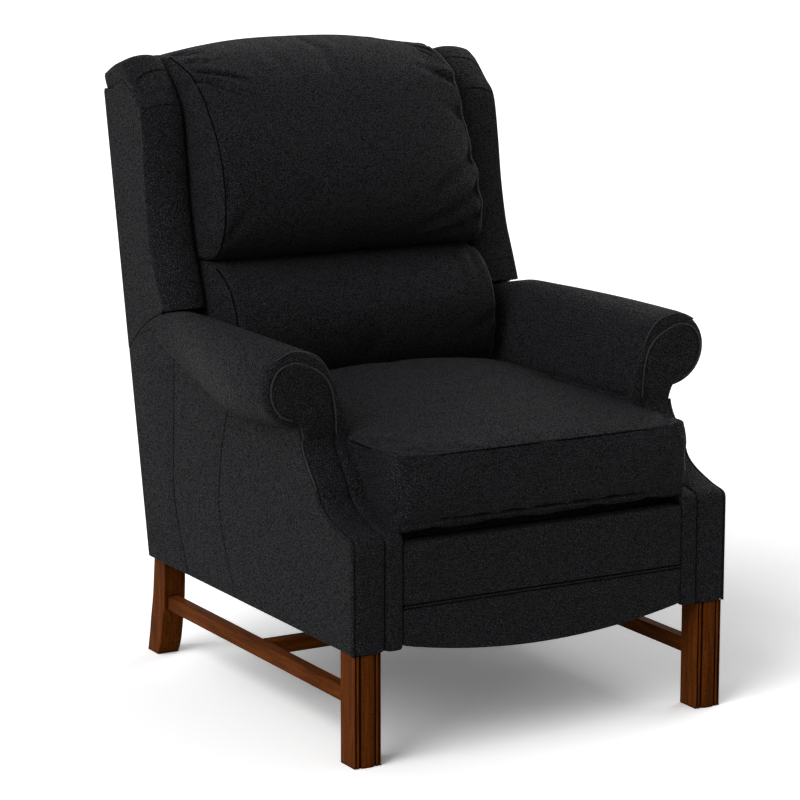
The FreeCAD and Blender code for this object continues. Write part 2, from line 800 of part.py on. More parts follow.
def head_section(share, full):
    x = pillow_half.number * share
    low = (lumbar_top + N["head_gap"]).number
    high = (back_cover_top + N["head_rise"]).number
    reach = N["head_depth"].number
    bulge = N["head_bulge"].number * full
    crown = N["head_crown"].number * full
    hook = (upright_top + N["head_hook_gap"]).number
    behind = (cover_far - N["head_hook_depth"]).number
    rise = high - low
    points = [
        back_spot(x, pillow_rear, low),
    ]
    last = len(HEAD_EDGE_SHARES) - 1
    for i, (ahead, up) in enumerate(HEAD_EDGE_SHARES):
        extra = bulge if i > 0 else 0
        lift = crown if i == last else 0
        points.append(back_spot(x, reach * ahead + extra, low + rise * up + lift))
    points.append(back_spot(x, reach * HEAD_TOP_SHARE, high + crown))
    over_cover = (back_cover_top + N["pillow_clearance"]).number
    points.append(back_spot(x, behind, over_cover))
    points.append(back_spot(x, (cover_far + N["pillow_clearance"]).number, over_cover))
    points.append(back_spot(x, (cover_far + N["pillow_clearance"]).number, hook))
    points.append(back_spot(x, pillow_rear, hook))
    return chain(points, {1, 3, 5})


sculpted("head_pillow", Part.makeLoft([head_section(s, f) for s, f in CROWN_SHARES], True, False))

# Footrest panel: a padded face with a bowed lower edge on a board
pad_front = front - N["pad_proud"]
pad_back = pad_front + N["pad_thickness"]
pad_low = footrest_low + N["panel_bow"]
pad_corners = [
    (-footrest_half, pad_low), (footrest_half, pad_low),
    (footrest_half, footrest_top), (-footrest_half, footrest_top),
]
bottom_bow = bow_radius(pad_corners[0], pad_corners[1], N["panel_bow"])
body = new_body("footrest_pad")
sketch = draw(body, "footrest_pad_outline", "XZ_Plane", pad_corners, {0: (bottom_bow, 1)})
face = pad(body, "footrest_pad_pad", sketch, N["pad_thickness"])
body.setExpression("Placement.Base.y", pad_back.text)
face = soften(body, "footrest_pad_corners", face, N["pad_radius"],
              lambda edge: edge.BoundBox.YLength > (N["pad_thickness"] / 2).number)
soften(body, "footrest_pad_round", face, N["pad_radius"],
       lambda edge: edge.CenterOfMass.y < (pad_front - pad_back + N["pad_radius"] / 2).number)

margin = N["board_margin"]
board_corners = [
    (-(footrest_half - margin), pad_low + margin), (footrest_half - margin, pad_low + margin),
    (footrest_half - margin, footrest_top - margin), (-(footrest_half - margin), footrest_top - margin),
]
board_back = pad_back + N["board_thickness"]
body = new_body("footrest_board")
sketch = draw(body, "footrest_board_outline", "XZ_Plane", board_corners, {})
pad(body, "footrest_board_pad", sketch, N["board_thickness"])
body.setExpression("Placement.Base.y", board_back.text)

# Linkage points in the side view: forward and up along the tilted line, folded away
fold = N["linkage_fold_degrees"]
tilt = N["linkage_tilt_degrees"]
ahead = (-cosine(tilt), sine(tilt))
upward = (sine(tilt), cosine(tilt))
bay = N["link_length"] * cosine(fold)
drop = N["link_length"] * sine(fold)
link_start = (deep("linkage_depth"), deck_low - N["linkage_drop"])


def upper(count):
    """Upper joint of the linkage after a number of bays."""
    return (link_start[0] + ahead[0] * bay * count, link_start[1] + ahead[1] * bay * count)


def lower(count):
    """Lower joint of the linkage after a number of bays."""
    top = upper(count)
    return (top[0] - upward[0] * drop, top[1] - upward[1] * drop)


def middle(first, second):
    return ((first[0] + second[0]) / 2, (first[1] + second[1]) / 2)


def link(label, start, end, low, holes, pins, fit):
    """A flat link with round ends from one joint to another, its holes and its pins.

    A hole entry is a point. A pin entry is a point and the X places between which it runs."""
    body = new_body(label)
    run = end[0] - start[0]
    rise = end[1] - start[1]
    long = N["link_length"]
    side_y = rise / long * (N["link_width"] / 2)
    side_z = run / long * (N["link_width"] / 2)
    half = N["link_width"] / 2
    corners = [
        (start[0] + side_y, start[1] - side_z), (end[0] + side_y, end[1] - side_z),
        (end[0] - side_y, end[1] + side_z), (start[0] - side_y, start[1] + side_z),
    ]
    sketch = draw(body, label + "_outline", "YZ_Plane", corners, {})
    pad(body, label + "_pad", sketch, N["plate_thickness"])
    sketch = ring(body, label + "_ends", "YZ_Plane", [start], half)
    pad(body, label + "_end_a", sketch, N["plate_thickness"])
    sketch = ring(body, label + "_tips", "YZ_Plane", [end], half)
    pad(body, label + "_end_b", sketch, N["plate_thickness"])
    if holes:
        sketch = ring(body, label + "_holes", "YZ_Plane", holes, N["pin_radius"] + fit)
        cut(body, label + "_bores", sketch, N["plate_thickness"], True)
    for i, (point, pin_low, pin_high) in enumerate(pins):
        sketch = ring(body, "%s_pin_%d" % (label, i), "YZ_Plane", [point], N["pin_radius"])
        sketch.setExpression("AttachmentOffset.Base.z", (pin_low - low).text)
        pad(body, "%s_stud_%d" % (label, i), sketch, pin_high - pin_low)
    body.setExpression("Placement.Base.x", low.text)
    return body


# For each side the layers' inner and outer X places, from the outside in
for side, hand in (("left", -1), ("right", 1)):
    def layer(inner, outer):
        return (inner, outer) if hand > 0 else (-outer, -inner)
    b_low, b_high = layer(b_inner, b_outer)
    a_low, a_high = layer(a_inner, a_outer)
    plate_low, plate_high = layer(plate_inner, plate_outer)
    bracket_low, bracket_high = layer(bracket_inner, bracket_outer)
    wide_low, wide_high = layer(a_inner, b_outer)
    to_plate = layer(b_inner, plate_outer)
    foot_to_plate = layer(a_inner, plate_outer)
    to_bracket = layer(bracket_inner, a_outer)
    rest = lower(0)
    fit = N["pin_clearance"]
    loose = N["open_clearance"]
    cross = (wide_low, wide_high)
    link("link_b1_" + side, upper(0), lower(1), b_low, [], [
        (upper(0),) + to_plate, (middle(upper(0), lower(1)),) + cross], fit)
    link("link_a1_" + side, rest, upper(1), a_low, [middle(rest, upper(1))], [
        (rest,) + foot_to_plate, (upper(1),) + cross], fit)
    link("link_b2_" + side, upper(1), lower(2), b_low, [upper(1)], [
        (middle(upper(1), lower(2)),) + cross, (lower(2),) + cross], fit)
    link("link_a2_" + side, lower(1), upper(2), a_low, [middle(lower(1), upper(2))], [], fit)
    link("link_a3_" + side, lower(2), upper(3), a_low, [lower(2), middle(lower(2), upper(3))], [
        (upper(3),) + to_bracket], fit)
    link("link_b3_" + side, upper(2), lower(3), b_low, [], [
        (middle(upper(2), lower(3)),) + cross], fit)

    # Side plate: carries the linkage and the back's pivot, with a slot for the linkage's foot
    body = new_body("side_plate_" + side)
    plate_low_z = rest[1] - N["pin_radius"] - N["open_clearance"] - N["plate_margin"]
    plate_high_z = deck_low - N["plate_top_gap"]
    plate_near = rest[0] - N["pin_radius"] - N["open_clearance"] - N["plate_margin"]
    corners = [
        (plate_near, plate_low_z), (front_rail_far, plate_low_z),
        (plate_far, rail_low + N["rear_rail_height"]), (plate_far, plate_high_z),
        (plate_near, plate_high_z),
    ]
    sketch = draw(body, "side_plate_outline_" + side, "YZ_Plane", corners, {})
    pad(body, "side_plate_pad_" + side, sketch, N["plate_thickness"])
    sketch = ring(body, "side_plate_pivot_" + side, "YZ_Plane", [(pivot_y, pivot_z)],
                  N["pivot_radius"] + N["pin_clearance"])
    cut(body, "side_plate_pivot_bore_" + side, sketch, N["plate_thickness"], True)
    sketch = ring(body, "side_plate_link_" + side, "YZ_Plane", [upper(0)], N["pin_radius"] + N["pin_clearance"])
    cut(body, "side_plate_link_bore_" + side, sketch, N["plate_thickness"], True)
    slide_top_drop = N["link_length"] * sine(N["linkage_reach_degrees"])
    slot_top = (link_start[0] - upward[0] * slide_top_drop, link_start[1] - upward[1] * slide_top_drop)
    slot_half = N["pin_radius"] + N["open_clearance"]
    slot_corners = [
        (rest[0] - upward[1] * slot_half, rest[1] + upward[0] * slot_half),
        (rest[0] + upward[1] * slot_half, rest[1] - upward[0] * slot_half),
        (slot_top[0] + upward[1] * slot_half, slot_top[1] - upward[0] * slot_half),
        (slot_top[0] - upward[1] * slot_half, slot_top[1] + upward[0] * slot_half),
    ]
    sketch = draw(body, "side_plate_slot_" + side, "YZ_Plane", slot_corners, {})
    cut(body, "side_plate_slot_cut_" + side, sketch, N["plate_thickness"], True)
    for tag, point in (("low", rest), ("high", slot_top)):
        sketch = ring(body, "side_plate_slot_%s_%s" % (tag, side), "YZ_Plane", [point], slot_half)
        cut(body, "side_plate_slot_end_%s_%s" % (tag, side), sketch, N["plate_thickness"], True)
    body.setExpression("Placement.Base.x", plate_low.text)

    # Footrest bracket: from the last upper joint to the board
    body = new_body("footrest_bracket_" + side)
    last = upper(3)
    half = N["link_width"] / 2
    corners = [
        (board_back, last[1] - half * 3), (last[0], last[1] - half),
        (last[0], last[1] + half), (board_back, last[1] + half),
    ]
    sketch = draw(body, "bracket_outline_" + side, "YZ_Plane", corners, {})
    pad(body, "bracket_pad_" + side, sketch, N["plate_thickness"])
    sketch = ring(body, "bracket_end_" + side, "YZ_Plane", [last], half)
    pad(body, "bracket_end_pad_" + side, sketch, N["plate_thickness"])
    sketch = ring(body, "bracket_hole_" + side, "YZ_Plane", [last], N["pin_radius"] + N["pin_clearance"])
    cut(body, "bracket_bore_" + side, sketch, N["plate_thickness"], True)
    body.setExpression("Placement.Base.x", bracket_low.text)

    # Back bracket: from the pivot to the upright, with the pivot's bolt
    body = new_body("back_bracket_" + side)
    round_end = N["bearing_radius"]
    low_z = pivot_z - round_end
    top_z = pivot_z + N["bracket_rise"]
    corners = [
        (pivot_y, low_z), (rear_line(low_z, cover_far + round_end), low_z),
        (rear_line(top_z, cover_far + round_end), top_z), (rear_line(top_z, frame_far), top_z),
        (pivot_y, pivot_z + round_end),
    ]
    sketch = draw(body, "back_bracket_outline_" + side, "YZ_Plane", corners, {})
    pad(body, "back_bracket_pad_" + side, sketch, N["plate_thickness"])
    sketch = ring(body, "back_bracket_round_" + side, "YZ_Plane", [(pivot_y, pivot_z)], round_end)
    pad(body, "back_bracket_end_" + side, sketch, N["plate_thickness"])
    sketch = ring(body, "back_bracket_bolt_" + side, "YZ_Plane", [(pivot_y, pivot_z)], N["pivot_radius"])
    sketch.setExpression("AttachmentOffset.Base.z", (to_plate[0] - b_low).text)
    pad(body, "back_bracket_stud_" + side, sketch, to_plate[1] - to_plate[0])
    body.setExpression("Placement.Base.x", b_low.text)

# Torque tube between the first links
tube = doc.addObject("Part::Cylinder", "torque_tube")
for prop, size in (
    ("Radius", N["tube_radius"]), ("Height", b_inner * 2), ("Placement.Base.x", -b_inner),
    ("Placement.Base.y", link_start[0]), ("Placement.Base.z", link_start[1]),
):
    tube.setExpression(prop, size.text)
tube.Placement.Rotation = FreeCAD.Rotation(VEC(0, 0, 1), VEC(1, 0, 0))
keep(tube, "torque_tube")

doc.recompute()
for item in doc.Objects:
    if "Invalid" in item.State or "Error" in item.State:
        raise ValueError("%s did not build: %s" % (item.Label, item.State))
for item in PIECES:
    if item.Shape.isNull() or not item.Shape.isValid():
        raise ValueError("%s has no sound shape" % item.Label)

os.makedirs("parts", exist_ok=True)
for item in PIECES:
    item.Shape.exportStep("parts/%s.step" % item.Label)
box_all = Part.makeCompound([item.Shape for item in PIECES]).BoundBox
print("pieces", len(PIECES))
print("box", [round(n, 1) for n in (
    box_all.XMin, box_all.XMax, box_all.YMin, box_all.YMax, box_all.ZMin, box_all.ZMax)])
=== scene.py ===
# %% [markdown]
# # A wing-back recliner in dark leather
# The chair is a wooden frame with leather drawn over padding. Its plain solids are loaded
# first, as a maker would set out the bare frame, and every leather part is then modelled
# over its own solid in real sizes. Working over a measured frame keeps each part where it
# belongs and lets the back, the seat and the footrest move with their bodies.

# %% Load the frame
import json
import math
import bpy
from mathutils import Matrix, Vector, kdtree


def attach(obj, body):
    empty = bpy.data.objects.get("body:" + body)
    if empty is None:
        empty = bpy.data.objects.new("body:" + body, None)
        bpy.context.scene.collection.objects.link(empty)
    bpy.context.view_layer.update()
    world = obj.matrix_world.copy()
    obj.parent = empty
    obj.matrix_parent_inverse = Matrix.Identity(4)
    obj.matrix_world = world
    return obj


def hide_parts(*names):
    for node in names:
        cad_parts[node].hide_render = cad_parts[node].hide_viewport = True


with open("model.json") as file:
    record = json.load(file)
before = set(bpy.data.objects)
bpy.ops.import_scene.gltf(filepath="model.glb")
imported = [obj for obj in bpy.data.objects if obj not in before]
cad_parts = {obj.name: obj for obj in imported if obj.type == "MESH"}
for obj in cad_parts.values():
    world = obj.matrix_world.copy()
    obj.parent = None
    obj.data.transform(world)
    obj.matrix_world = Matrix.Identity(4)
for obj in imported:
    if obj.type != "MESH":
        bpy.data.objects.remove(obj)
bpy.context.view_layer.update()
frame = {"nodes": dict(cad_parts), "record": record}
nodes = frame["nodes"]

# %% [markdown]
# The maker's drawing gives places in millimetres: across from the middle, back from the
# front faces of the legs, and up from the floor. One small helper turns such a place into
# metres in the chair's own frame, so the tables below read like the drawing.

# %% Places on the drawing
LEG_FRONT = -449.0


def spot(across, back, up):
    return Vector((across, back + LEG_FRONT, up)) / 1000


def mode(name):
    bpy.ops.object.mode_set(mode=name)


def alone():
    """Leaves nothing selected, so that the next tool works on one piece only."""
    bpy.ops.object.select_all(action="DESELECT")


def hold(piece):
    alone()
    piece.select_set(True)
    bpy.context.view_layer.objects.active = piece


def modified(piece, kind, **settings):
    """Adds a modifier to a piece, sets it, and makes its result the mesh."""
    hold(piece)
    bpy.ops.object.modifier_add(type=kind)
    for key, value in settings.items():
        setattr(piece.modifiers[-1], key, value)
    bpy.ops.object.modifier_apply(modifier=piece.modifiers[-1].name)


print("front of the seat rails", spot(0, 60, 188))

# %% [markdown]
# Leather is a sheet, so most parts start as a grid whose rows are laid round a section, one
# station after another. Where the last column meets the first, the two are merged and the
# sheet becomes a tube. Its two ends are then closed with a face each.

# %% A grid of leather laid over its stations
def laid(name, rows):
    alone()
    bpy.ops.mesh.primitive_grid_add(x_subdivisions=len(rows[0]) - 1, y_subdivisions=len(rows) - 1, size=1)
    piece = bpy.context.object
    piece.name = piece.data.name = name
    places = [place for row in rows for place in row]
    for vertex, place in zip(piece.data.vertices, places):
        vertex.co = place
    mode("EDIT")
    bpy.ops.mesh.select_all(action="SELECT")
    bpy.ops.mesh.remove_doubles(threshold=0.00002)
    bpy.ops.mesh.select_mode(type="EDGE")
    bpy.ops.mesh.select_all(action="DESELECT")
    bpy.ops.mesh.select_non_manifold()
    bpy.ops.mesh.edge_face_add()
    bpy.ops.mesh.select_mode(type="VERT")
    bpy.ops.mesh.select_all(action="SELECT")
    bpy.ops.mesh.normals_make_consistent(inside=False)
    mode("OBJECT")
    return piece


def rounded_ring(ring):
    """A closed ring of places: the first one comes again at the end."""
    return list(ring) + [ring[0]]


# %% [markdown]
# Flat padded panels, such as the side of the chair, are cut out like a template: a disc
# gets one corner for each point of the outline, is extruded to its thickness, and its
# edges are bevelled where the leather turns over the padding.

# %% A panel cut to an outline
SHARP = math.radians(40)


def panel(name, outline, low, high, turn, steps=2, plane="YZ"):
    alone()
    bpy.ops.mesh.primitive_circle_add(vertices=len(outline), fill_type="NGON")
    piece = bpy.context.object
    piece.name = piece.data.name = name
    for vertex, (a, b) in zip(piece.data.vertices, outline):
        vertex.co = spot(low, a, b) if plane == "YZ" else spot(a, low, b)
    thick = (high - low) / 1000
    way = Vector((thick, 0, 0)) if plane == "YZ" else Vector((0, thick, 0))
    mode("EDIT")
    bpy.ops.mesh.select_all(action="SELECT")
    bpy.ops.mesh.extrude_region_move(TRANSFORM_OT_translate={"value": way})
    bpy.ops.mesh.select_all(action="SELECT")
    bpy.ops.mesh.normals_make_consistent(inside=False)
    mode("OBJECT")
    modified(piece, "BEVEL", width=turn, segments=steps, limit_method="ANGLE", angle_limit=SHARP)
    bpy.ops.object.shade_smooth()
    modified(piece, "WEIGHTED_NORMAL", keep_sharp=True)
    return piece


def smooth(piece, levels=1):
    modified(piece, "SUBSURF", levels=levels, render_levels=levels)
    bpy.ops.object.shade_smooth()
    return piece


def curve_through(points, count):
    """Places spread evenly along a smooth line through a few measured ones."""
    knots = [Vector(p) for p in points]
    spans = []
    for i in range(len(knots) - 1):
        before = knots[i - 1] if i else knots[i] * 2 - knots[i + 1]
        after = knots[i + 2] if i + 2 < len(knots) else knots[i + 1] * 2 - knots[i]
        for step in range(12):
            t = step / 12
            a, b = knots[i], knots[i + 1]
            spans.append(0.5 * ((2 * a) + (b - before) * t + (2 * before - 5 * a + 4 * b - after) * t * t
                                + (3 * a - before - 3 * b + after) * t ** 3))
    spans.append(knots[-1])
    lengths = [0.0]
    for a, b in zip(spans, spans[1:]):
        lengths.append(lengths[-1] + (b - a).length)
    out, j = [], 0
    for i in range(count):
        want = lengths[-1] * i / (count - 1)
        while j < len(lengths) - 2 and lengths[j + 1] < want:
            j += 1
        share = (want - lengths[j]) / max(lengths[j + 1] - lengths[j], 1e-9)
        out.append(spans[j].lerp(spans[j + 1], min(max(share, 0), 1)))
    return out


def side_curve(points, count):
    """The same in the side view, through points that are given as back and up."""
    return curve_through([(0, *point) for point in points], count)


def flat(path):
    return [(place.y, place.z) for place in path]


# %% [markdown]
# Measures that change along a part, such as how far the arm's roll stands out, are known at a
# few places. The values between them are read from a smooth line, which has no steps or lumps.

# %% A value between measured places
def between(places, values, at):
    at = min(max(at, places[0]), places[-1])
    i = max(n for n in range(len(places) - 1) if places[n] <= at)

    def slope(n):
        low, high = max(n - 1, 0), min(n + 1, len(places) - 1)
        return (values[high] - values[low]) / (places[high] - places[low])

    span = places[i + 1] - places[i]
    t = (at - places[i]) / span
    return (values[i] * (2 * t ** 3 - 3 * t * t + 1) + values[i + 1] * (3 * t * t - 2 * t ** 3)
            + slope(i) * span * (t ** 3 - 2 * t * t + t) + slope(i + 1) * span * (t ** 3 - t * t))


# %% [markdown]
# Leather gathers in short folds beside a seam. Such a fold is carved out of a part's surface
# by a thin spindle that lies along it, which leaves a groove that tapers away at both ends.

# %% A short fold
def fold(piece, places, half, count=16):
    touched = [piece.closest_point_on_mesh(place) for place in curve_through(places, count)]
    line = [hit[1] for hit in touched]
    rows = []
    for i, place in enumerate(line):
        run = (line[min(i + 1, count - 1)] - line[max(i - 1, 0)]).normalized()
        out = (touched[i][2] - run * touched[i][2].dot(run)).normalized()
        aside = run.cross(out)
        size = half * max(math.sin(math.pi * (i + 0.3) / (count - 0.4)), 0.05) ** 0.6
        turns = [math.radians(60 * k) for k in range(6)]
        rows.append(rounded_ring([place + (out * math.cos(a) + aside * math.sin(a)) * size for a in turns]))
    cutter = laid(piece.name + "_cutter", rows)
    modified(piece, "BOOLEAN", operation="DIFFERENCE", object=cutter, solver="EXACT")
    bpy.data.objects.remove(cutter)


# %% [markdown]
# A welt is a cord wrapped in leather and sewn into a seam. The seam's line is drawn as a
# curve, given the cord's thickness, and made a mesh, which is how it goes round corners
# without any work on its own shape.

# %% A welt along a line of places
def welt(name, places, radius):
    alone()
    bpy.ops.curve.primitive_bezier_curve_add()
    mode("EDIT")
    bpy.ops.curve.select_all(action="SELECT")
    bpy.ops.curve.delete(type="VERT")
    mode("OBJECT")
    piece = bpy.context.object
    line = piece.data.splines.new("NURBS")
    line.points.add(len(places) - 1)
    for point, place in zip(line.points, places):
        point.co = (*place, 1)
    line.order_u = 3
    line.use_endpoint_u = True
    line.resolution_u = 3
    piece.data.bevel_depth = radius
    piece.data.bevel_resolution = 2
    piece.data.use_fill_caps = True
    hold(piece)
    bpy.ops.object.convert(target="MESH")
    piece = bpy.context.object
    piece.name = piece.data.name = name
    bpy.ops.object.shade_smooth()
    return piece


# %% [markdown]
# Most parts are the same on both sides, so the left one is modelled once. Its right-hand
# twin is a copy with its own mesh, mirrored across the middle. Mirroring turns a shape
# inside out, so its faces are turned back.

# %% The right-hand twin of a left part
def twin(piece):
    hold(piece)
    bpy.ops.object.duplicate(linked=False)
    copy = bpy.context.object
    copy.name = copy.data.name = piece.name.replace("left", "right")
    copy.data.transform(Matrix.Diagonal((-1, 1, 1, 1)))
    mode("EDIT")
    bpy.ops.mesh.select_all(action="SELECT")
    bpy.ops.mesh.flip_normals()
    mode("OBJECT")
    return copy


def joined(name, pieces):
    """Several sewn parts made one piece."""
    hold(pieces[0])
    for piece in pieces:
        piece.select_set(True)
    bpy.ops.object.join()
    pieces[0].name = pieces[0].data.name = name
    return pieces[0]


def belongs(piece, body, stands_for=(), material=None):
    piece.data.materials.clear()
    piece.data.materials.append(material or LEATHER)
    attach(piece, body)
    if stands_for:
        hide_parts(*stands_for)
    print(piece.name, "rides", body, "faces", len(piece.data.polygons))


def both_belong(left, body, stands_for=(), material=None):
    """Gives a left part its twin, and both of them their body, nodes and finish."""
    for side, piece in {"left": left, "right": twin(left)}.items():
        belongs(piece, body, [root + "_" + side for root in stands_for], material)


# %% [markdown]
# The leather is nearly black with a pebbled grain of rounded cells three to four
# millimetres across. Cells from a Voronoi texture on the piece's own coordinates give the
# pebbles, and a fine noise breaks them up. Both lift the surface. The colour is painted darker
# and the finish duller in the valleys between the pebbles, as painted shade, and the colour is
# painted lighter on their tops, as a painted highlight.

# %% Leather
GRAIN = 270


def new_material(name):
    material = bpy.data.materials.new(name)
    material.use_nodes = True
    return material, material.node_tree, material.node_tree.nodes["Principled BSDF"]


def fed(tree, made, inputs):
    """Gives a node's inputs their values. An output of another node is linked in instead."""
    for key, value in inputs.items():
        if isinstance(value, bpy.types.NodeSocket):
            tree.links.new(value, made.inputs[key])
        else:
            made.inputs[key].default_value = value
    return made


def node(tree, kind, inputs={}, **settings):
    made = tree.nodes.new("ShaderNode" + kind)
    for key, value in settings.items():
        setattr(made, key, value)
    return fed(tree, made, inputs)


def blended(tree, share, low, high):
    return node(tree, "Mix", {"Factor": share, 6: low, 7: high}, data_type="RGBA").outputs[2]


def ranged(tree, value, limits):
    return node(tree, "MapRange", {"Value": value, **limits}).outputs["Result"]


def toned(colour, by=1):
    return (*[c * by for c in colour], 1)


def leather(name, colour, grain=GRAIN, depth=0.0021, roughness=0.52, gloss=0.033):
    material, tree, shader = new_material(name)
    place = node(tree, "TexCoord").outputs["Object"]
    wobble, fine, broad = [node(tree, "TexNoise", {"Vector": place, "Scale": scale, "Detail": detail}).outputs
                           for scale, detail in ((160, 2), (1400, 3), (9, 4))]
    bend = node(tree, "VectorMath", {0: wobble["Color"], 1: (0.004, 0.004, 0.004), 2: place}, operation="MULTIPLY_ADD")
    cells = node(tree, "TexVoronoi", {"Vector": bend.outputs[0], "Scale": grain}, feature="DISTANCE_TO_EDGE")
    pebble = ranged(tree, cells.outputs["Distance"], {"From Max": 0.27})
    height = node(tree, "Math", {0: fine["Fac"], 1: 0.18, 2: pebble}, operation="MULTIPLY_ADD")
    roll = node(tree, "Bump", {"Height": broad["Fac"], "Strength": 0.35, "Distance": 0.004})
    bump = node(tree, "Bump", {"Height": height.outputs[0], "Normal": roll.outputs["Normal"], "Strength": 1.0,
                               "Distance": depth})
    # Painted shade and highlight: the pebbles' valleys are made darker and their tops lighter.
    grain_shade_and_highlight = blended(tree, pebble, toned(colour, 0.15), toned(colour, 1.9))
    sheen = ranged(tree, pebble, {"To Min": roughness + 0.25, "To Max": roughness - 0.1})
    fed(tree, shader, {"Base Color": grain_shade_and_highlight, "Roughness": sheen, "Normal": bump.outputs["Normal"],
                       "Specular IOR Level": gloss})
    return material


LEATHER = leather("leather_black", (0.0188, 0.0192, 0.0210))
# The welts' leather is painted lighter than the rest and is glossier: a painted highlight on the cords.
WELT_PAINTED_HIGHLIGHT = leather("leather_welt", (0.025, 0.0255, 0.027), grain=500, depth=0.0003, roughness=0.42, gloss=0.10)
# Near-black, matt leather for thin cords laid where a seam's groove lies in shade: painted shade.
SEAM_PAINTED_SHADE = leather("leather_seam_painted_shade", (0.004, 0.004, 0.0043), grain=500, depth=0.0003, roughness=0.9, gloss=0.0)
print("leather cells", round(1000 / GRAIN, 1), "mm")

# %% [markdown]
# The legs and stretchers are stained hardwood: a warm reddish brown with dark streaks along
# the grain and small dark flecks. Where the surface is hemmed in, in grooves and corners, the
# colour is darkened as painted shade. The grain runs along each part's length, so the same
# material is made once for upright parts and once each for the two directions of the
# stretchers. The hidden frame is pale where it is bare, and black where it could show through
# a gap, as painted shade for that gap.

# %% Stained wood
def wood(name, along, light=(0.160, 0.042, 0.0064), dark=(0.060, 0.0145, 0.0026), gloss=0.46):
    material, tree, shader = new_material(name)
    place = node(tree, "TexCoord").outputs["Object"]
    stretch = node(tree, "Mapping", {"Vector": place, "Scale": [1.0 if axis == along else 14.0 for axis in "XYZ"]})
    streak = node(tree, "TexNoise", {"Vector": stretch.outputs["Vector"], "Scale": 9, "Detail": 8, "Roughness": 0.65,
                                     "Distortion": 0.6}).outputs["Fac"]
    ramp = node(tree, "ValToRGB", {"Fac": streak})
    for stop, position, colour in zip(ramp.color_ramp.elements, (0.34, 0.66), (dark, light)):
        stop.position, stop.color = position, toned(colour)
    fleck = node(tree, "TexNoise", {"Vector": place, "Scale": 420, "Detail": 2})
    spots = ranged(tree, fleck.outputs["Fac"], {"From Min": 0.56, "From Max": 0.70})
    flecked = blended(tree, spots, ramp.outputs["Color"], toned(dark, 0.6))
    # Painted shade: the colour is darkened where an occlusion measure finds the surface hemmed in, in grooves and
    # corners.
    corner = node(tree, "AmbientOcclusion", {"Distance": 0.006}, samples=4)
    groove_shade = ranged(tree, corner.outputs["AO"], {"From Min": 0.35, "From Max": 0.95, "To Min": 0.18})
    groove_shaded_colour = node(tree, "VectorMath", {0: flecked, "Scale": groove_shade}, operation="SCALE")
    bump = node(tree, "Bump", {"Height": streak, "Strength": 0.25, "Distance": 0.0004})
    fed(tree, shader, {"Base Color": groove_shaded_colour.outputs[0], "Normal": bump.outputs["Normal"], "Roughness": gloss,
                       "Specular IOR Level": 0.01})
    return material


BARE = {"light": (0.60, 0.42, 0.24), "dark": (0.36, 0.23, 0.12), "gloss": 0.7}
WOOD_UP = wood("leg_wood_upright", "Z")
WOOD_SIDE = wood("leg_wood_side", "Y")
WOOD_CROSS = wood("leg_wood_cross", "X")
RAW_SIDE = wood("frame_wood_raw_side", "Y", **BARE)
RAW_CROSS = wood("frame_wood_raw_cross", "X", **BARE)
# Frame wood that could show through a gap is made black: painted shade for that gap.
FRAME_PAINTED_SHADE_BLACK = wood("frame_wood_black_painted_shade", "Y", light=(0.012, 0.012, 0.012), dark=(0.006, 0.006, 0.006), gloss=0.7)
print("wood finishes", 6)

# %% [markdown]
# The folding linkage is flat steel with a black coat: dark, slightly uneven, with a satin
# gloss. A little noise in its roughness keeps large flat links from looking like paper.

# %% Painted steel
STEEL, tree, shader = new_material("steel_black")
place = node(tree, "TexCoord").outputs["Object"]
mottle = node(tree, "TexNoise", {"Vector": place, "Scale": 60, "Detail": 5}).outputs["Fac"]
tone = blended(tree, mottle, (0.022, 0.023, 0.025, 1), (0.060, 0.061, 0.064, 1))
dull = ranged(tree, mottle, {"To Min": 0.28, "To Max": 0.5})
fed(tree, shader, {"Base Color": tone, "Roughness": dull, "Metallic": 0.65})

# %% [markdown]
# The hidden wood and steel already have the right shape in the frame, and so do the
# stretchers. They keep their solids and only get a finish, put into their own slots.

# %% Finish the parts that keep their solids
FINISH = {"leg_wood": WOOD_UP, "frame_wood": FRAME_PAINTED_SHADE_BLACK, "steel": STEEL, "leather": LEATHER}
ALONG = {"side_stretcher_left": WOOD_SIDE, "side_stretcher_right": WOOD_SIDE, "cross_stretcher": WOOD_CROSS,
         "seat_deck": RAW_SIDE, "footrest_board": RAW_CROSS, "back_rail_top": RAW_CROSS}
slots = {part["node"]: part["material_slot"] for part in frame["record"]["subparts"]}
for name, solid in nodes.items():
    finish = ALONG.get(name, FINISH[slots[name]])
    for place in solid.material_slots:
        place.material = finish
    if not solid.material_slots:
        solid.data.materials.append(finish)
print("finished", len(nodes), "solids")

# %% [markdown]
# Each front leg is moulded down its front: a narrow bead, a fine groove and a second bead at
# each edge, then a deep groove, and a broad raised field between them. Such a moulding is one
# section drawn across the leg and carried straight down from the rail to the floor.

# %% Front legs
HALF_MOULD = [(0, 2.2), (0.8, 1.4), (1.6, 2.0), (2.2, 5.0), (3.6, 5.4), (4.4, 2.2), (6.6, 1.0), (8.8, 2.2),
              (9.4, 6.4), (11.6, 6.4), (12.4, 1.4), (14.2, 0.5), (18.6, -0.4), (24.2, -0.8)]
RAIL_LOW = 186
LEG_OUTER, LEG_INNER, LEG_REAR, EASE = -355.0, -306.6, 48.4, 1.0
mould = [(LEG_OUTER + across, back) for across, back in HALF_MOULD]
mould += [(LEG_INNER - across, back) for across, back in HALF_MOULD[-2::-1]]
mould += [(LEG_INNER, LEG_REAR - EASE), (LEG_INNER - EASE, LEG_REAR), (LEG_OUTER + EASE, LEG_REAR),
          (LEG_OUTER, LEG_REAR - EASE)]
rows = [rounded_ring([spot(x, back, up) for x, back in mould]) for up in (0, 60, 120, RAIL_LOW)]
leg = laid("front_leg_moulded_left", rows)
bpy.ops.object.shade_smooth_by_angle(angle=math.radians(32))
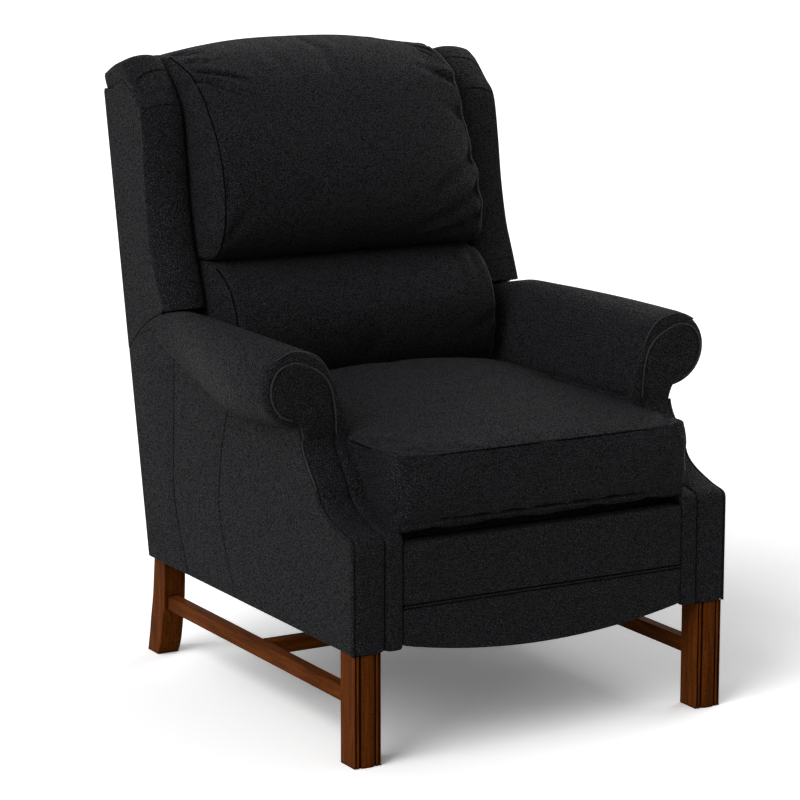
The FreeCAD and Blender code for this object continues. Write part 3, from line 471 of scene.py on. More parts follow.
both_belong(leg, "base", ["front_leg"], WOOD_UP)

# %% [markdown]
# The rear legs lean back and curve, and their square edges are eased. A template cut to the
# side outline, extruded to the leg's width and bevelled, gives that soft edge.

# %% Rear legs
LEG_AHEAD = [(726, 186), (728, 132), (732, 94), (740, 55), (748, 23), (760, 0)]
LEG_BEHIND = [(802, 0), (793, 35), (787, 66), (778, 105), (774, 136), (768, 186)]
leg_outline = flat(side_curve(LEG_AHEAD, 14) + side_curve(LEG_BEHIND, 14))
leg = panel("rear_leg_shaped_left", leg_outline, -341, -299, turn=0.0018)
both_belong(leg, "base", ["rear_leg"], WOOD_UP)

# %% [markdown]
# The side of the chair is covered with three pieces of leather that meet in two curved,
# sewn seams. Each piece is cut to its outline with soft edges, so that two of them meet in
# a fine valley, as sewn leather does. The rear one runs up to the arc on which the wing parts
# from the arm, centred on the back's pivot.

# %% Side of the chair
PIVOT = (600.0, 335.0)
ARC = 313.6
OUTER, BOARD = -357, -287
UNDER_ROLL = 6
SWEEP = [(-1, 186), (-1, 300), (-1, 362), (1.5, 371), (9, 376), (37, 382), (82, 398), (109, 415), (121, 437),
         (140, 460), (159, 484), (167, 505), (168, 530), (167, 560)]
SEAM_FAR = [(594, 186), (604, 208), (620, 246), (638, 286), (649, 327), (648, 400), (645, 462), (643, 499), (641, 575)]
SEAM_NEAR = [(411, 186), (429, 221), (449, 262), (471, 327), (468, 391), (458, 445), (438, 499), (429, 527)]
CREASE_LINE = [(176, 530), (213, 527), (274, 517), (344, 512), (411, 514), (462, 522), (535, 536), (585, 550),
               (628, 561), (655, 572)]


def arc_top(back):
    return PIVOT[1] + math.sqrt(ARC ** 2 - (back - PIVOT[0]) ** 2)


def rear_line(up, ahead=0):
    return 758 + 0.19 * (up - RAIL_LOW) - ahead


def crease_up(back):
    for (b0, u0), (b1, u1) in zip(CREASE_LINE, CREASE_LINE[1:]):
        if back <= b1:
            return u0 + (u1 - u0) * (back - b0) / (b1 - b0)
    return CREASE_LINE[-1][1]


def shifted(line, step):
    return [(back + step, up) for back, up in line]


far_line, near_line = flat(side_curve(SEAM_FAR, 16)), flat(side_curve(SEAM_NEAR, 16))
near_line[-1] = (429, crease_up(429) + UNDER_ROLL)
far_line[-1] = (641, crease_up(641) + UNDER_ROLL)
front_line = [(back + 9, max(up - 3, RAIL_LOW)) for back, up in flat(side_curve(SWEEP, 40)) if up < 503]
crest = [(back, up + UNDER_ROLL) for back, up in CREASE_LINE]
arc_line = [(back, arc_top(back)) for back in range(688, 829, 10)]
rear_end = [p for p in arc_line if p[0] < rear_line(p[1]) - 1] + [(rear_line(552), 552), (rear_line(186), 186)]
covers = {"front": front_line + [p for p in crest if p[0] < 420] + shifted(near_line, -0.5)[::-1],
          "mid": shifted(near_line, 0.5) + [p for p in crest if 455 < p[0] < 640] + shifted(far_line, -0.5)[::-1],
          "rear": shifted(far_line, 0.5) + [(688, 575)] + rear_end}
covers = [panel("side_%s_left" % name, outline, OUTER, BOARD, turn=0.0024) for name, outline in covers.items()]
side_piece = joined("outside_arm_leather_left", covers)
fold(side_piece, [spot(OUTER, *p) for p in ((722, 605), (755, 594), (796, 578))], 0.0016)
both_belong(side_piece, "base", ["outside_arm", "inside_arm"])

# %% [markdown]
# The front of the arm is one long padded panel that starts in the scroll, runs down the
# neck, sweeps forward in an S and ends as the front post. Its rows cross it from the inner
# seam to the outer edge, and each row is crowned and drawn in at the seams.

# %% Front panel of the arm
SCROLL_FOOT = 506
SCROLL = [(520, -298.5, -358), (532, -299, -362), (540, -300, -376), (547, -301, -392), (557, -303, -404),
          (570, -304.5, -412), (586, -307.5, -415.5), (600, -314, -414.5), (612, -324, -409), (621, -338, -401),
          (628, -353, -391), (632.5, -366, -381)]
RIM = [(516, -273.5, -299, 165), (530, -279, -299.5, 164.6), (548, -283.5, -301, 164.6), (566, -288.5, -304, 165),
       (584, -294, -308.5, 165.6), (600, -301, -315, 167), (612, -309, -322, 169)]
PANEL_SHAPE = [(0, -4.5), (0.01, -0.6), (0.05, 1.2), (0.16, 2.4), (0.35, 3.2), (0.55, 3.4), (0.75, 3.2), (0.9, 2.4),
               (0.965, 1.0), (0.995, -1.6), (1.0, -5.0)]
STRIP_SHAPE = [(0, -5), (0.015, 0.4), (0.08, 2.2), (0.25, 3.2), (0.5, 3.6), (0.75, 3.0), (0.92, 2.0), (0.985, -0.4),
               (1, -5)]


def crossing(path, i):
    """The way that the path's surface faces at a station, in the side view."""
    a, b = path[max(i - 1, 0)], path[min(i + 1, len(path) - 1)]
    run = (b - a).normalized()
    return Vector((0, -run.z, run.y))


def strip_rows(path, edges, shape, wall):
    """Rows across a strip that follows a path, from its inner to its outer edge and back inside it."""
    rows = []
    for i, (place, (x_low, x_high)) in enumerate(zip(path, edges)):
        face = crossing(path, i)
        rows.append(rounded_ring([spot(x_low + (x_high - x_low) * share, place.y, place.z) + face * (lift / 1000)
                                  for share, lift in shape + [(1, -wall), (0, -wall)]]))
    return rows


def edges_up(start, inner, outer):
    """A strip's two edges up the sweep. Each keeps its x up to a height, then moves as far as is given."""
    shares = [max(0, (place.z - start) / (SCROLL_FOOT - start)) for place in sweep_path]
    return [(inner[0] + inner[1] * share, outer[0] + outer[1] * share) for share in shares]


def along_edge(x, sunk):
    """A line up the sweep at x, sunk into its face."""
    return [spot(x, q.y, q.z) - crossing(sweep_path, i) * (sunk / 1000) for i, q in enumerate(sweep_path)]


sweep_path = [p for p in side_curve(SWEEP, 60) if p.z < SCROLL_FOOT]
path = sweep_path + [Vector((0, 164.5 - 2.5 * min(1, (up - SCROLL_FOOT) / 25), up)) for up, _, _ in SCROLL]
edges = edges_up(400, (-300.6, 2.6), (-354.2, -1.5)) + [(inner, outer) for _, inner, outer in SCROLL]
front = smooth(laid("front_panel_left", strip_rows(path, edges, PANEL_SHAPE, 14)))
path = sweep_path + [Vector((0, back, up)) for up, _, _, back in RIM]
edges = edges_up(450, (-267.6, -3.9), (-300.0, 1.2)) + [(inner, outer) for _, inner, outer, _ in RIM]
strip = smooth(laid("front_strip_left", strip_rows(path, edges, STRIP_SHAPE, 12)))
corner = [welt("corner_seam_cord_left", along_edge(-357.0, 2.3), 0.0025),
          welt("corner_seam_stitch_left", along_edge(-357.2, 7.4), 0.0011)]
# A light cord down the outer edge of the neck: a painted highlight where the leather's edge catches the light.
neck = [place for place, q in zip(along_edge(-358.3, 0.6), sweep_path) if q.z > 432]
both_belong(welt("neck_welt_left", neck, 0.0015), "base", material=WELT_PAINTED_HIGHLIGHT)
both_belong(joined("corner_seam_left", corner), "base")
both_belong(front, "base", ["front_post", "arm_sweep", "arm_facing"])
both_belong(strip, "base", ["post_strip"])

# %% [markdown]
# The arm's roll is leather drawn over a padded board: its section is a scroll at the front
# that grows flatter towards the wing. Each station repeats one section, whose overhang and
# crease height change along the arm.

# %% Arm roll
ROLL_PLACES = [165, 280, 400, 530, 620, 720]
OVERHANG = [73, 72, 55, 27, 9, 0.8]
CREASE = [524, 513, 510, 534, 558, 585]
TOP = [655, 656, 657, 656, 651, 628]
TUCKED = [1, 1, 0.9, 0.5, 0.1, 0]
CROWN = [366, 366, 360, 350, 351, 352]
SHOULDER = [(286, 498), (285, 520), (285.2, 548), (285.8, 578), (287, 604), (291, 628), (304, 641)]
STRAIGHT, NEAR_WING = 560, 560


def roll_section(back, inset=0.0):
    out, crease, top, tucked, crown = [between(ROLL_PLACES, values, back)
                                       for values in (OVERHANG, CREASE, TOP, TUCKED, CROWN)]
    ring = [(286, 498), (285, 520), (288, 548), (293, 578), (302, 607), (316, 632), (334, 648)]
    grown = (top - STRAIGHT) / (TOP[0] - STRAIGHT)
    ring = [(x, z if z < STRAIGHT else STRAIGHT + (z - STRAIGHT) * grown) for x, z in ring]
    filled = max(0.0, min((back - NEAR_WING) / 90, 1.0)) ** 2
    ring = [(x + (fx - x) * filled, z + (fz - z) * filled) for (x, z), (fx, fz) in zip(ring, SHOULDER)]
    top = min(top, arc_top(back) if back > 640 else top)
    ring = [(x, min(z, top - 2)) for x, z in ring]
    middle = crease + (top - crease) * 0.52
    for i in range(8):
        turn = math.radians(90 * i / 7)
        ring.append((crown + (-OUTER + out - crown) * math.sin(turn), middle + (top - middle) * math.cos(turn)))
    for i in range(1, 7):
        turn = math.radians(90 * i / 6)
        ring.append((357.3 + (out - 0.3) * math.cos(turn) ** (2 - tucked), middle - (middle - crease) * math.sin(turn)))
    ring += [(350, crease - 5), (340, 500)]
    if inset:
        mid = Vector((350, 580))
        ring = [tuple(Vector(p) - (Vector(p) - mid).normalized() * inset) for p in ring]
    return ring


stations = [(163.5, 17), (164, 11), (166.5, 6), (171, 2.4), (178, 0.4), (190, 0)]
stations += [(190 + 26.5 * i, 0) for i in range(1, 21)]
rows = [rounded_ring([spot(-x, back, z) for x, z in roll_section(back, inset)]) for back, inset in stations]
roll = smooth(laid("arm_roll_leather_left", rows))
# A light cord along the roll's inner front edge: a painted highlight, the glint on that edge.
edge = [spot(-x, 167.5, z) for x, z in roll_section(167.5, 2.6)[1:11]]
both_belong(welt("arm_edge_welt_left", edge, 0.0013), "base", material=WELT_PAINTED_HIGHLIGHT)
both_belong(roll, "base", ["arm_roll"])

# %% [markdown]
# A welt follows the seam between the long panel and the roll: up the inner side of the neck,
# over the scroll and round to its underside.

# %% Welt round the scroll
SCROLL_LINE = [(-301, 470), (-298, 505), (-299, 545), (-307, 588), (-325, 613), (-350, 627), (-375, 634), (-402, 624),
               (-415, 598), (-412, 570), (-397, 549), (-378, 541)]
scroll_line = curve_through([(x, 0, up) for x, up in SCROLL_LINE], 40)
# Its lighter leather is a painted highlight.
seam = welt("arm_facing_welt_left", [spot(p.x, 162.5, p.z) for p in scroll_line if p.z > SCROLL_FOOT], 0.0019)
both_belong(seam, "base", material=WELT_PAINTED_HIGHLIGHT)

# %% [markdown]
# A cushion is a leather case blown up by its filling. The case is modelled a little small,
# then Blender's cloth tool fills it: air pushes from inside, while the seams are held. The
# leather is let out by a few percent, so that it gathers beside the seams. Every point is
# then kept within a few millimetres of where it started, and the result is made the mesh.

# %% Stuffing a case
PRESSURE, FRAMES = 4.0, 20


def stuffed(piece, held, most, spare):
    hold(piece)
    before = [vertex.co.copy() for vertex in piece.data.vertices]
    sewn = piece.vertex_groups.new(name="sewn")
    sewn.add([vertex.index for vertex in piece.data.vertices if held(vertex.co)], 1.0, "REPLACE")
    bpy.ops.object.modifier_add(type="CLOTH")
    cloth = piece.modifiers[-1]
    rules = cloth.settings
    rules.use_pressure = True
    rules.uniform_pressure_force = PRESSURE
    rules.vertex_group_mass = "sewn"
    rules.effector_weights.gravity = 0
    rules.tension_stiffness = rules.compression_stiffness = 20
    rules.bending_stiffness = 0.6
    rules.shrink_min = -spare
    cloth.point_cache.frame_start, cloth.point_cache.frame_end = 1, FRAMES
    for n in range(1, FRAMES + 1):
        bpy.context.scene.frame_set(n)
    bpy.ops.object.modifier_apply(modifier=cloth.name)
    bpy.context.scene.frame_set(1)
    piece.vertex_groups.clear()
    far = 0.0
    for vertex, start in zip(piece.data.vertices, before):
        move = vertex.co - start
        far = max(far, move.length)
        if move.length > 1e-7:
            vertex.co = start + move * (most * math.tanh(move.length / most) / move.length)
    print(piece.name, "filled, furthest point moved", round(far * 1000, 1), "mm, kept within", most * 1000)


def finder(places):
    """Finds the nearest one of these places."""
    tree = kdtree.KDTree(len(places))
    for i, place in enumerate(places):
        tree.insert(place, i)
    tree.balance()
    return tree


def beside(places, reach):
    """Says whether a point lies on the seam that runs through these places."""
    seam = finder(places)
    return lambda point: seam.find(point)[2] < reach


# %% [markdown]
# Where the case is pulled in at a corner it wrinkles. A wrinkle is a soft valley with a low
# ridge on each side, which starts at the seam and fades out across the cushion.

# %% Soft wrinkles
SAMPLES = 40


def along_surface(piece, places):
    """Places on the piece along a line, each with the way the surface faces there."""
    hits = [piece.closest_point_on_mesh(place) for place in curve_through(places, SAMPLES)]
    return hits, finder([hit[1] for hit in hits])


def on_surface(piece, line, proud, eased=0):
    """The same line, laid on the piece, a little proud of it, with its small kinks eased."""
    hits = [piece.closest_point_on_mesh(place) for place in line]
    laid_line = [hit[1] + hit[2] * proud for hit in hits]
    for _ in range(eased):
        inner = [(before + 2 * place + after) / 4
                 for before, place, after in zip(laid_line, laid_line[1:], laid_line[2:])]
        laid_line = laid_line[:1] + inner + laid_line[-1:]
    return laid_line


def wrinkled(piece, wrinkles):
    for start, end, wide, deep in wrinkles:
        hits, tree = along_surface(piece, [spot(*start), spot(*end)])
        for vertex in piece.data.vertices:
            _, i, far = tree.find(vertex.co)
            far *= 1000 / wide
            if far < 4:
                fade = min((i + 5) / 9, 1) * (1 - i / (SAMPLES - 1)) ** 0.6
                sink = math.exp(-far ** 2) - 0.45 * math.exp(-((far - 1.7) / 0.9) ** 2)
                vertex.co -= hits[i][2] * (deep * sink * fade / 1000)
    print(piece.name, "wrinkles", len(wrinkles))


# %% [markdown]
# A sharp pucker is narrower than the faces of a pillow, so the faces along it are divided
# first, and its middle is then pulled in as a fine valley.

# %% Puckers
DIVIDED, PULLED = 0.007, 0.009


def puckered(piece, puckers):
    for places, wide, deep in puckers:
        hits, tree = along_surface(piece, [spot(*place) for place in places])
        hold(piece)
        mode("EDIT")
        bpy.ops.mesh.select_mode(type="FACE")
        bpy.ops.mesh.select_all(action="DESELECT")
        mode("OBJECT")
        for face in piece.data.polygons:
            face.select = tree.find(face.center)[2] < DIVIDED
        mode("EDIT")
        bpy.ops.mesh.subdivide(number_cuts=4, smoothness=0)
        bpy.ops.mesh.select_mode(type="VERT")
        mode("OBJECT")
        for vertex in piece.data.vertices:
            _, i, far = tree.find(vertex.co)
            if far < PULLED:
                fade = min(1, (i + 4) / 8) * max(1 - i / (SAMPLES - 1), 0.0) ** 0.45
                vertex.co -= hits[i][2] * (deep * fade * math.exp(-(far * 1000 / wide) ** 2) / 1000)
    print(piece.name, "puckers", len(puckers), "faces", len(piece.data.polygons))


# %% [markdown]
# The seat cushion is boxed: a crowned top, a band all round and a flat bottom, with a welt
# in each seam. Beside each welt lies a fine near-black cord, painted shade for the dark line of
# the seam's groove. Its rows run from the rear round the top, the front and the bottom, so the
# crown, the bulging front and the drawn-in sides come from one table of sections.

# %% Seat cushion
CORNERS = {"left": 20.0, "right": 9.0}
HALF_WIDE = 278


def turned_in(x):
    """How far the front steps back near a corner, where it turns into the side."""
    corner = CORNERS["left" if x < 0 else "right"]
    over = abs(x) - (HALF_WIDE - corner)
    return corner - math.sqrt(max(corner ** 2 - over ** 2, 0)) if over > 0 else 0


def cushion_row(x):
    full = 1 - min(abs(x) / HALF_WIDE, 1) ** 2.6
    bulge = 6 + 12 * full
    top = [(566, 507 + 33 * full), (470, 508 + 36 * full), (360, 506 + 33 * full), (240, 504 + 27 * full),
           (130, 502.5 + 18 * full), (60, 502 + 9 * full), (24, 502 + 3.5 * full)]
    front = [(9 - 6 * full, 501.6), (4.5 - 8 * full, 500.6), (5.5 - 8 * full, 498), (1.5 - 10 * full, 495.5),
             (-0.9 * bulge, 470), (1 - 1.05 * bulge, 442), (1 - 0.9 * bulge, 412), (3 - 0.6 * bulge, 395),
             (7 - 0.5 * bulge, 388.5), (6 - 0.45 * bulge, 385.5), (5.5 - 0.45 * bulge, 380), (10 - 0.42 * bulge, 375.5)]
    belly = [(22, 372.5), (46, 374), (62, 380.4), (130, 380.5), (300, 380.5), (460, 380.5), (556, 381)]
    rear = [(565, 388), (567, 430), (567, 480), (566.5, 503)]
    ring = [(back + turned_in(x) * max(0, 1 - max(back, 0) / 60), up) for back, up in top + front + belly + rear]
    if abs(x) == HALF_WIDE:
        ring = [(283 + (back - 283) * 0.972, 440 + (up - 440) * 0.88) for back, up in ring]
    return rounded_ring([spot(x, back, up) for back, up in ring])


def round_the_front(half):
    """A seam's line from the left rear to the right rear, given for its left half up to the middle."""
    whole = half + [(-x, back, up) for x, back, up in half[-2::-1]]
    return [spot(*place) for place in curve_through(whole, 120)]


stops = [-HALF_WIDE, -277, -274, -270, -264, -254, -236, -200, -150, -80, 0]
stops += [-x for x in stops[-2::-1]]
top_seam = round_the_front([(-276.5, 560, 505), (-277.5, 300, 503.5), (-277.5, 60, 501.5), (-277, 17, 500.5),
                            (-273, 6, 499.8), (-263, 0, 499.6), (-180, -2.5, 499.6), (0, -3.5, 499.6)])
low_seam = round_the_front([(-277, 560, 386), (-278, 300, 386), (-278, 60, 386), (-277, 17, 386.5),
                            (-273, 6, 387), (-263, 1, 387), (-180, -3, 387), (0, -4, 387)])
cushion = smooth(laid("seat_cushion_leather", [cushion_row(x) for x in stops]), 2)
on_top, on_low = beside(top_seam, 0.006), beside(low_seam, 0.007)


def cushion_held(p):
    """Both seams, the flat bottom behind the front edge, and the rear, are held."""
    bottom = p.z < 0.385 and p.y > spot(0, 55, 0).y
    return on_top(p) or on_low(p) or bottom or p.y > spot(0, 562, 0).y


stuffed(cushion, cushion_held, most=0.008, spare=0.02)
smooth(cushion)
belongs(cushion, "seat", ["seat_cushion"])
belongs(welt("seat_cushion_welt_top", on_surface(cushion, top_seam, 0.0002), 0.0014), "seat")
belongs(welt("seat_cushion_welt_low", on_surface(cushion, low_seam, 0.0012, eased=30), 0.003), "seat")
# Beside each welt a near-black cord: painted shade, the dark line of the seam's groove.
for name, line, lift in (("top", top_seam, -2.6), ("low", low_seam, 6.5)):
    beside_welt = [place + Vector((0, 0, lift / 1000)) for place in line]
    seam_shade_line = welt("seat_cushion_seam_" + name, on_surface(cushion, beside_welt, 0.0003, eased=24), 0.001)
    belongs(seam_shade_line, "seat", material=SEAM_PAINTED_SHADE)

# %% [markdown]
# Under the cushion the seat deck is covered with a panel of the black leather, a dark sheet
# that stands in for the shade in the gap above the footrest: painted shade.

# %% Covered deck, a dark sheet as painted shade
deck_shade_sheet = panel("seat_deck_shade_cover", [(60, 352), (60, 380), (560, 380), (560, 352)], -266, 266, turn=0.003)
belongs(deck_shade_sheet, "seat", ["seat_deck"])

# %% [markdown]
# The footrest's padded front closes the chair below the cushion. Two stuffed fields, the
# lower one with a bowed edge, meet at a flat cord, which shows as two fine dark lines.

# %% Footrest pad
REST_HALF, REST_LOW, REST_HIGH = 266.4, 193, 360
bow = [(-267 + 22.25 * i, REST_LOW - 29 * (1 - ((i - 12) / 12) ** 2)) for i in range(1, 24)]
upper_line = [(-REST_HALF, 259.4), (REST_HALF, 259.4), (REST_HALF, REST_HIGH), (-REST_HALF, REST_HIGH)]
lower_line = [(-REST_HALF, 252.6), (-REST_HALF, REST_LOW)] + bow + [(REST_HALF, REST_LOW), (REST_HALF, 252.6)]
upper, lower = [panel(name, outline, -4, 27, turn=0.0022, steps=3, plane="XZ")
                for name, outline in (("footrest_upper", upper_line), ("footrest_lower", lower_line))]
between_fields = welt("footrest_cord", [spot(-265.5 + 44.25 * i, -3.0, 256) for i in range(13)], 0.0019)
rest_pad = joined("footrest_leather", [upper, lower, between_fields])
belongs(rest_pad, "footrest", ["footrest_pad"])

# %% [markdown]
# A wing is a flat padded board with a thick roll along its front edge. The roll follows the
# wing's front line from the arm up and over the top, and the flat part behind it is a
# template with soft edges. The right roll is plumper and a little lower than the left one,
# so it is drawn with its own measures and then turned over.

# %% Wings
WING_FRONT = [(661, 641), (675, 679), (690, 715), (704, 751), (720, 820), (732, 904), (746, 979), (769, 1015),
              (800, 1046), (833, 1072), (864, 1067), (893, 1053), (915, 1039)]
ALONG_WING = [661, 675, 704, 720, 746, 769, 800, 833, 915]
SEAM_DEEP = [14, 22, 29, 25, 16, 19, 30, 43, 41]
ROUNDED = {"left": [12, 20, 27, 24, 15, 16, 12, 8, 5], "right": [4, 6, 9, 10, 10, 12, 10, 8, 5]}
FULLER = {"left": [0] * 9, "right": [6, 7, 8, 8, 5, 1, 0, 0, 0]}
DOMED = [0, 0, 0, 0, 0, 0.1, 0.3, 0.6, 0]
DOME_HIGH, DOME_MIDDLE, DOME_HALF, MIDDLE = 13, -313, 45, -314
BEYOND_ARC = ARC + 1.2
CAP_UP, CAP_SHARE = 1.04, 0.7
ROLL_FOLDS = ([(OUTER, 768, 1030), (-346, 795, 1033), (-329, 800, 1042), (-297, 806, 1046), (-282, 806, 1043)],
              [(OUTER, 760, 974), (-351, 756, 981), (-338, 753, 989), (-314, 752, 991), (-284, 752, 988)])
wing_path = side_curve(WING_FRONT, 120)
hinge_place = spot(0, *PIVOT)


def wing_front(side):
    """The roll of one wing, drawn as a left one; its seam line comes with it."""
    rows, seam_line = [], []
    for i, place in enumerate(wing_path):
        face = crossing(wing_path, i)
        deep, domed, turn, fuller = [between(ALONG_WING, values, place.y)
                                     for values in (SEAM_DEEP, DOMED, ROUNDED[side], FULLER[side])]
        half = [(-278, 46), (-278, 18), (-279.5, 8), (-284, 3), (-293, 0.8), (-304, 0), (-314, 0.04 * turn),
                (-324, 0.12 * turn), (-333, 0.26 * turn), (-341, 0.43 * turn), (-348, 0.61 * turn),
                (-353.5, 0.8 * turn), (-357.2, turn), (-357, 0.97 * deep), (-350, deep + 3)]
        row = []
        for x, back in half:
            crowned = back + domed * DOME_HIGH * min(abs(x - DOME_MIDDLE) / DOME_HALF, 1) ** 2.2
            swollen = fuller * max((MIDDLE - x) / (MIDDLE - OUTER), 0) ** 1.5
            row.append(spot(x - swollen, place.y, place.z) - face * (crowned / 1000))
        rows.append(rounded_ring(row))
        seam_line.append(place - face * (deep + 2.5 * domed))
    for place in rows[-1]:
        place.y = spot(0, rear_line(place.z * 1000) + 1.2, 0).y
    for place in [place for row in rows for place in row[:-1]]:
        reach = math.hypot(place.y - hinge_place.y, place.z - hinge_place.z) / (BEYOND_ARC / 1000)
        if reach < 1:
            place.y = hinge_place.y + (place.y - hinge_place.y) / reach
            place.z = hinge_place.z + (place.z - hinge_place.z) / reach
    roll = smooth(laid("wing_roll_leather_left", rows))
    for line in ROLL_FOLDS:
        fold(roll, [spot(*place) for place in line], 0.0029)
    return roll, seam_line


mould, _ = wing_front("right")
right_roll = twin(mould)
bpy.data.objects.remove(mould)
for vertex in right_roll.data.vertices:
    if vertex.co.z > CAP_UP:
        vertex.co.z = CAP_UP + CAP_SHARE * (vertex.co.z - CAP_UP)
left_roll, seam_line = wing_front("left")
wing_line = [(p.y, p.z) for p in seam_line[::3] if p.z > 648 and p.y < 888]
wing_line += [(rear_line(1010) - 4, 1010), (rear_line(1004) - 0.5, 1004), (rear_line(552) - 0.3, 553.2)]
wing_line += [(back, arc_top(back) + 0.9) for back in range(827, 686, -10)]
wing = panel("wing_leather_left", wing_line, OUTER, -278.4, turn=0.0022)
belongs(left_roll, "back", ["wing_roll_left"])
belongs(right_roll, "back", ["wing_roll_right"])
both_belong(wing, "back", ["wing"])

# %% [markdown]
# The outside back is one smooth panel between the wings.

# %% Outside back
BACK_LOW, BACK_HIGH, BACK_THICK = 188, 1037, 14
back_line = [(rear_line(up, ahead), up) for up, ahead in ((BACK_LOW, 0), (BACK_HIGH, 0), (BACK_HIGH, BACK_THICK),
                                                          (BACK_LOW, BACK_THICK))]
outside = panel("outside_back_leather", back_line, -277.5, 277.5, turn=0.003, steps=3)
belongs(outside, "back", ["outside_back"])

# %% [markdown]
# The two pillows of the back are stuffed cases. Each one is a set of sections from side to
# side: the front swells towards the middle, and at the sides a gusset runs back to the wing.

# %% Pillows of the back
TOP_ACROSS = [-285, -232, -171, -110, 0, 117, 198, 285]
TOP_UP = [1064, 1075, 1085, 1092, 1094, 1091, 1079, 1066]
LEFT_SEAM = [0, 0, -2, -6, -13, -8, -3, -4, 0]
RIGHT_SEAM = [-25, -8, 1, 14, 23, 15, -3, -10, -20]
HEAD_EDGE = [(668, 727), (640, 757), (629, 803), (637, 855), (659, 914), (693, 977)]
HEAD_SWELL = [8, 17, 22, 25, 25, 22]
LUMBAR_EDGE = [(598, 513), (588, 545), (583, 593), (585, 631), (602, 668), (631, 696), (667, 714)]
INNER = 62


def head_ring(full, x):
    sewn = max(0.0, min((abs(x) - 60) / 190, 1.0)) ** 2
    aside = [sewn * step for step in (LEFT_SEAM if x < 0 else RIGHT_SEAM)]
    top = between(TOP_ACROSS, TOP_UP, x)
    ring = [(b - s * full + step, u) for (b, u), s, step in zip(HEAD_EDGE, HEAD_SWELL, aside)]
    ring += [(738 - 22 * full + aside[6], 1027 + 16 * full), (795 - 16 * full + aside[7], top - 16),
             (850 + aside[8], top - 1.5), (885, top - 1), (908, top - 9), (915, 1046), (908, 1040)]
    return ring + [(rear_line(1037, INNER), 1038)] + [(rear_line(up, INNER), up) for up in (900, 724)] + [(722, 719)]


def lumbar_ring(full):
    ring = [(b - 16 * full * math.sin(math.pi * (i + 0.6) / 7), u) for i, (b, u) in enumerate(LUMBAR_EDGE)]
    return ring + [(720, 716), (rear_line(716, INNER), 715), (rear_line(600, INNER), 600), (rear_line(512, INNER), 513),
                   (660, 512)]


def across(ring_of, seam_x):
    shares = (-1, -0.985, -0.95, -0.88, -0.76, -0.6, -0.4, -0.2, 0, 0.2, 0.4, 0.6, 0.76, 0.88, 0.95, 0.985, 1)
    return [(share * seam_x, ring_of(1 - abs(share) ** 3.2, share * seam_x)) for share in shares]


def pillow(name, stations, side_x, back_by):
    """A pillow through its sections. For the gusset the last one on each side steps back and out to the wing."""
    seam_x, first = stations[-1][0], stations[0][1]
    last, half_x = stations[-1][1], (side_x + seam_x) / 2 + 3

    def moved(ring, shift):
        return [(b + shift * max(0.0, min(1.0, (rear_line(u, INNER) - b) / 60)), u) for b, u in ring]

    left = [(-side_x, moved(first, back_by)), (-half_x, moved(first, back_by * 0.45))]
    right = [(half_x, moved(last, back_by * 0.45)), (side_x, moved(last, back_by))]
    rows = [rounded_ring([spot(x, b, u) for b, u in ring]) for x, ring in left + stations + right]
    return smooth(laid(name, rows), 2)


HEAD_WRINKLES = [((-250, 851, 1067), (-190, 830, 1080), 7, 3), ((-247, 800, 1056), (-190, 770, 1062), 6, 3),
                 ((-249, 762, 1047), (-140, 660, 1046), 8, 3.5), ((-253, 752, 1025), (-160, 655, 1018), 8, 3),
                 ((-258, 700, 985), (-200, 668, 972), 9, 2), ((256, 775, 1056), (205, 820, 1076), 7, 3),
                 ((259, 745, 1043), (196, 800, 1064), 7, 3.5), ((261, 718, 1012), (170, 735, 1028), 10, 6),
                 ((261, 700, 945), (200, 680, 975), 12, 4), ((261, 660, 880), (140, 616, 812), 13, 8),
                 ((261, 640, 826), (120, 610, 752), 13, 8), ((261, 634, 780), (120, 640, 725), 11, 5),
                 ((-258, 640, 850), (-200, 620, 800), 14, 2)]
LUMBAR_WRINKLES = [((240, 640, 704), (228, 580, 620), 9, 4.5), ((205, 632, 702), (200, 580, 640), 9, 4),
                   ((-226, 636, 700), (-222, 592, 640), 9, 2), ((258, 584, 600), (190, 568, 560), 11, 2.4)]


def finished(case, seam_x, rings, wrinkles, folds, most):
    """Fills a pillow, wrinkles it, and lays a cord down each side seam: near-black at the left, painted shade, and
    lighter at the right, a painted highlight.
    """
    sides = (("left", -1, rings[0], 0.0012, SEAM_PAINTED_SHADE), ("right", 1, rings[1], 0.0019, WELT_PAINTED_HIGHLIGHT))
    lines = [curve_through([spot(sign * seam_x, b, u) for b, u in ring], 60) for _, sign, ring, _, _ in sides]
    on_seam = beside(lines[0] + lines[1], 0.005)

    def held(p):
        behind = p.y > spot(0, rear_line(p.z * 1000, 72), 0).y
        return on_seam(p) or behind or abs(p.x) > seam_x / 1000 + 0.012

    stuffed(case, held, most=most, spare=0.03)
    smooth(case)
    wrinkled(case, wrinkles)
    puckered(case, folds)
    belongs(case, "back", [case.name.replace("_leather", "")])
    for (side, _, _, radius, material), line in zip(sides, lines):
        cord = welt(case.name.replace("_leather", "_welt_") + side, on_surface(case, line[::2], 0.0005), radius)
        belongs(cord, "back", material=material)


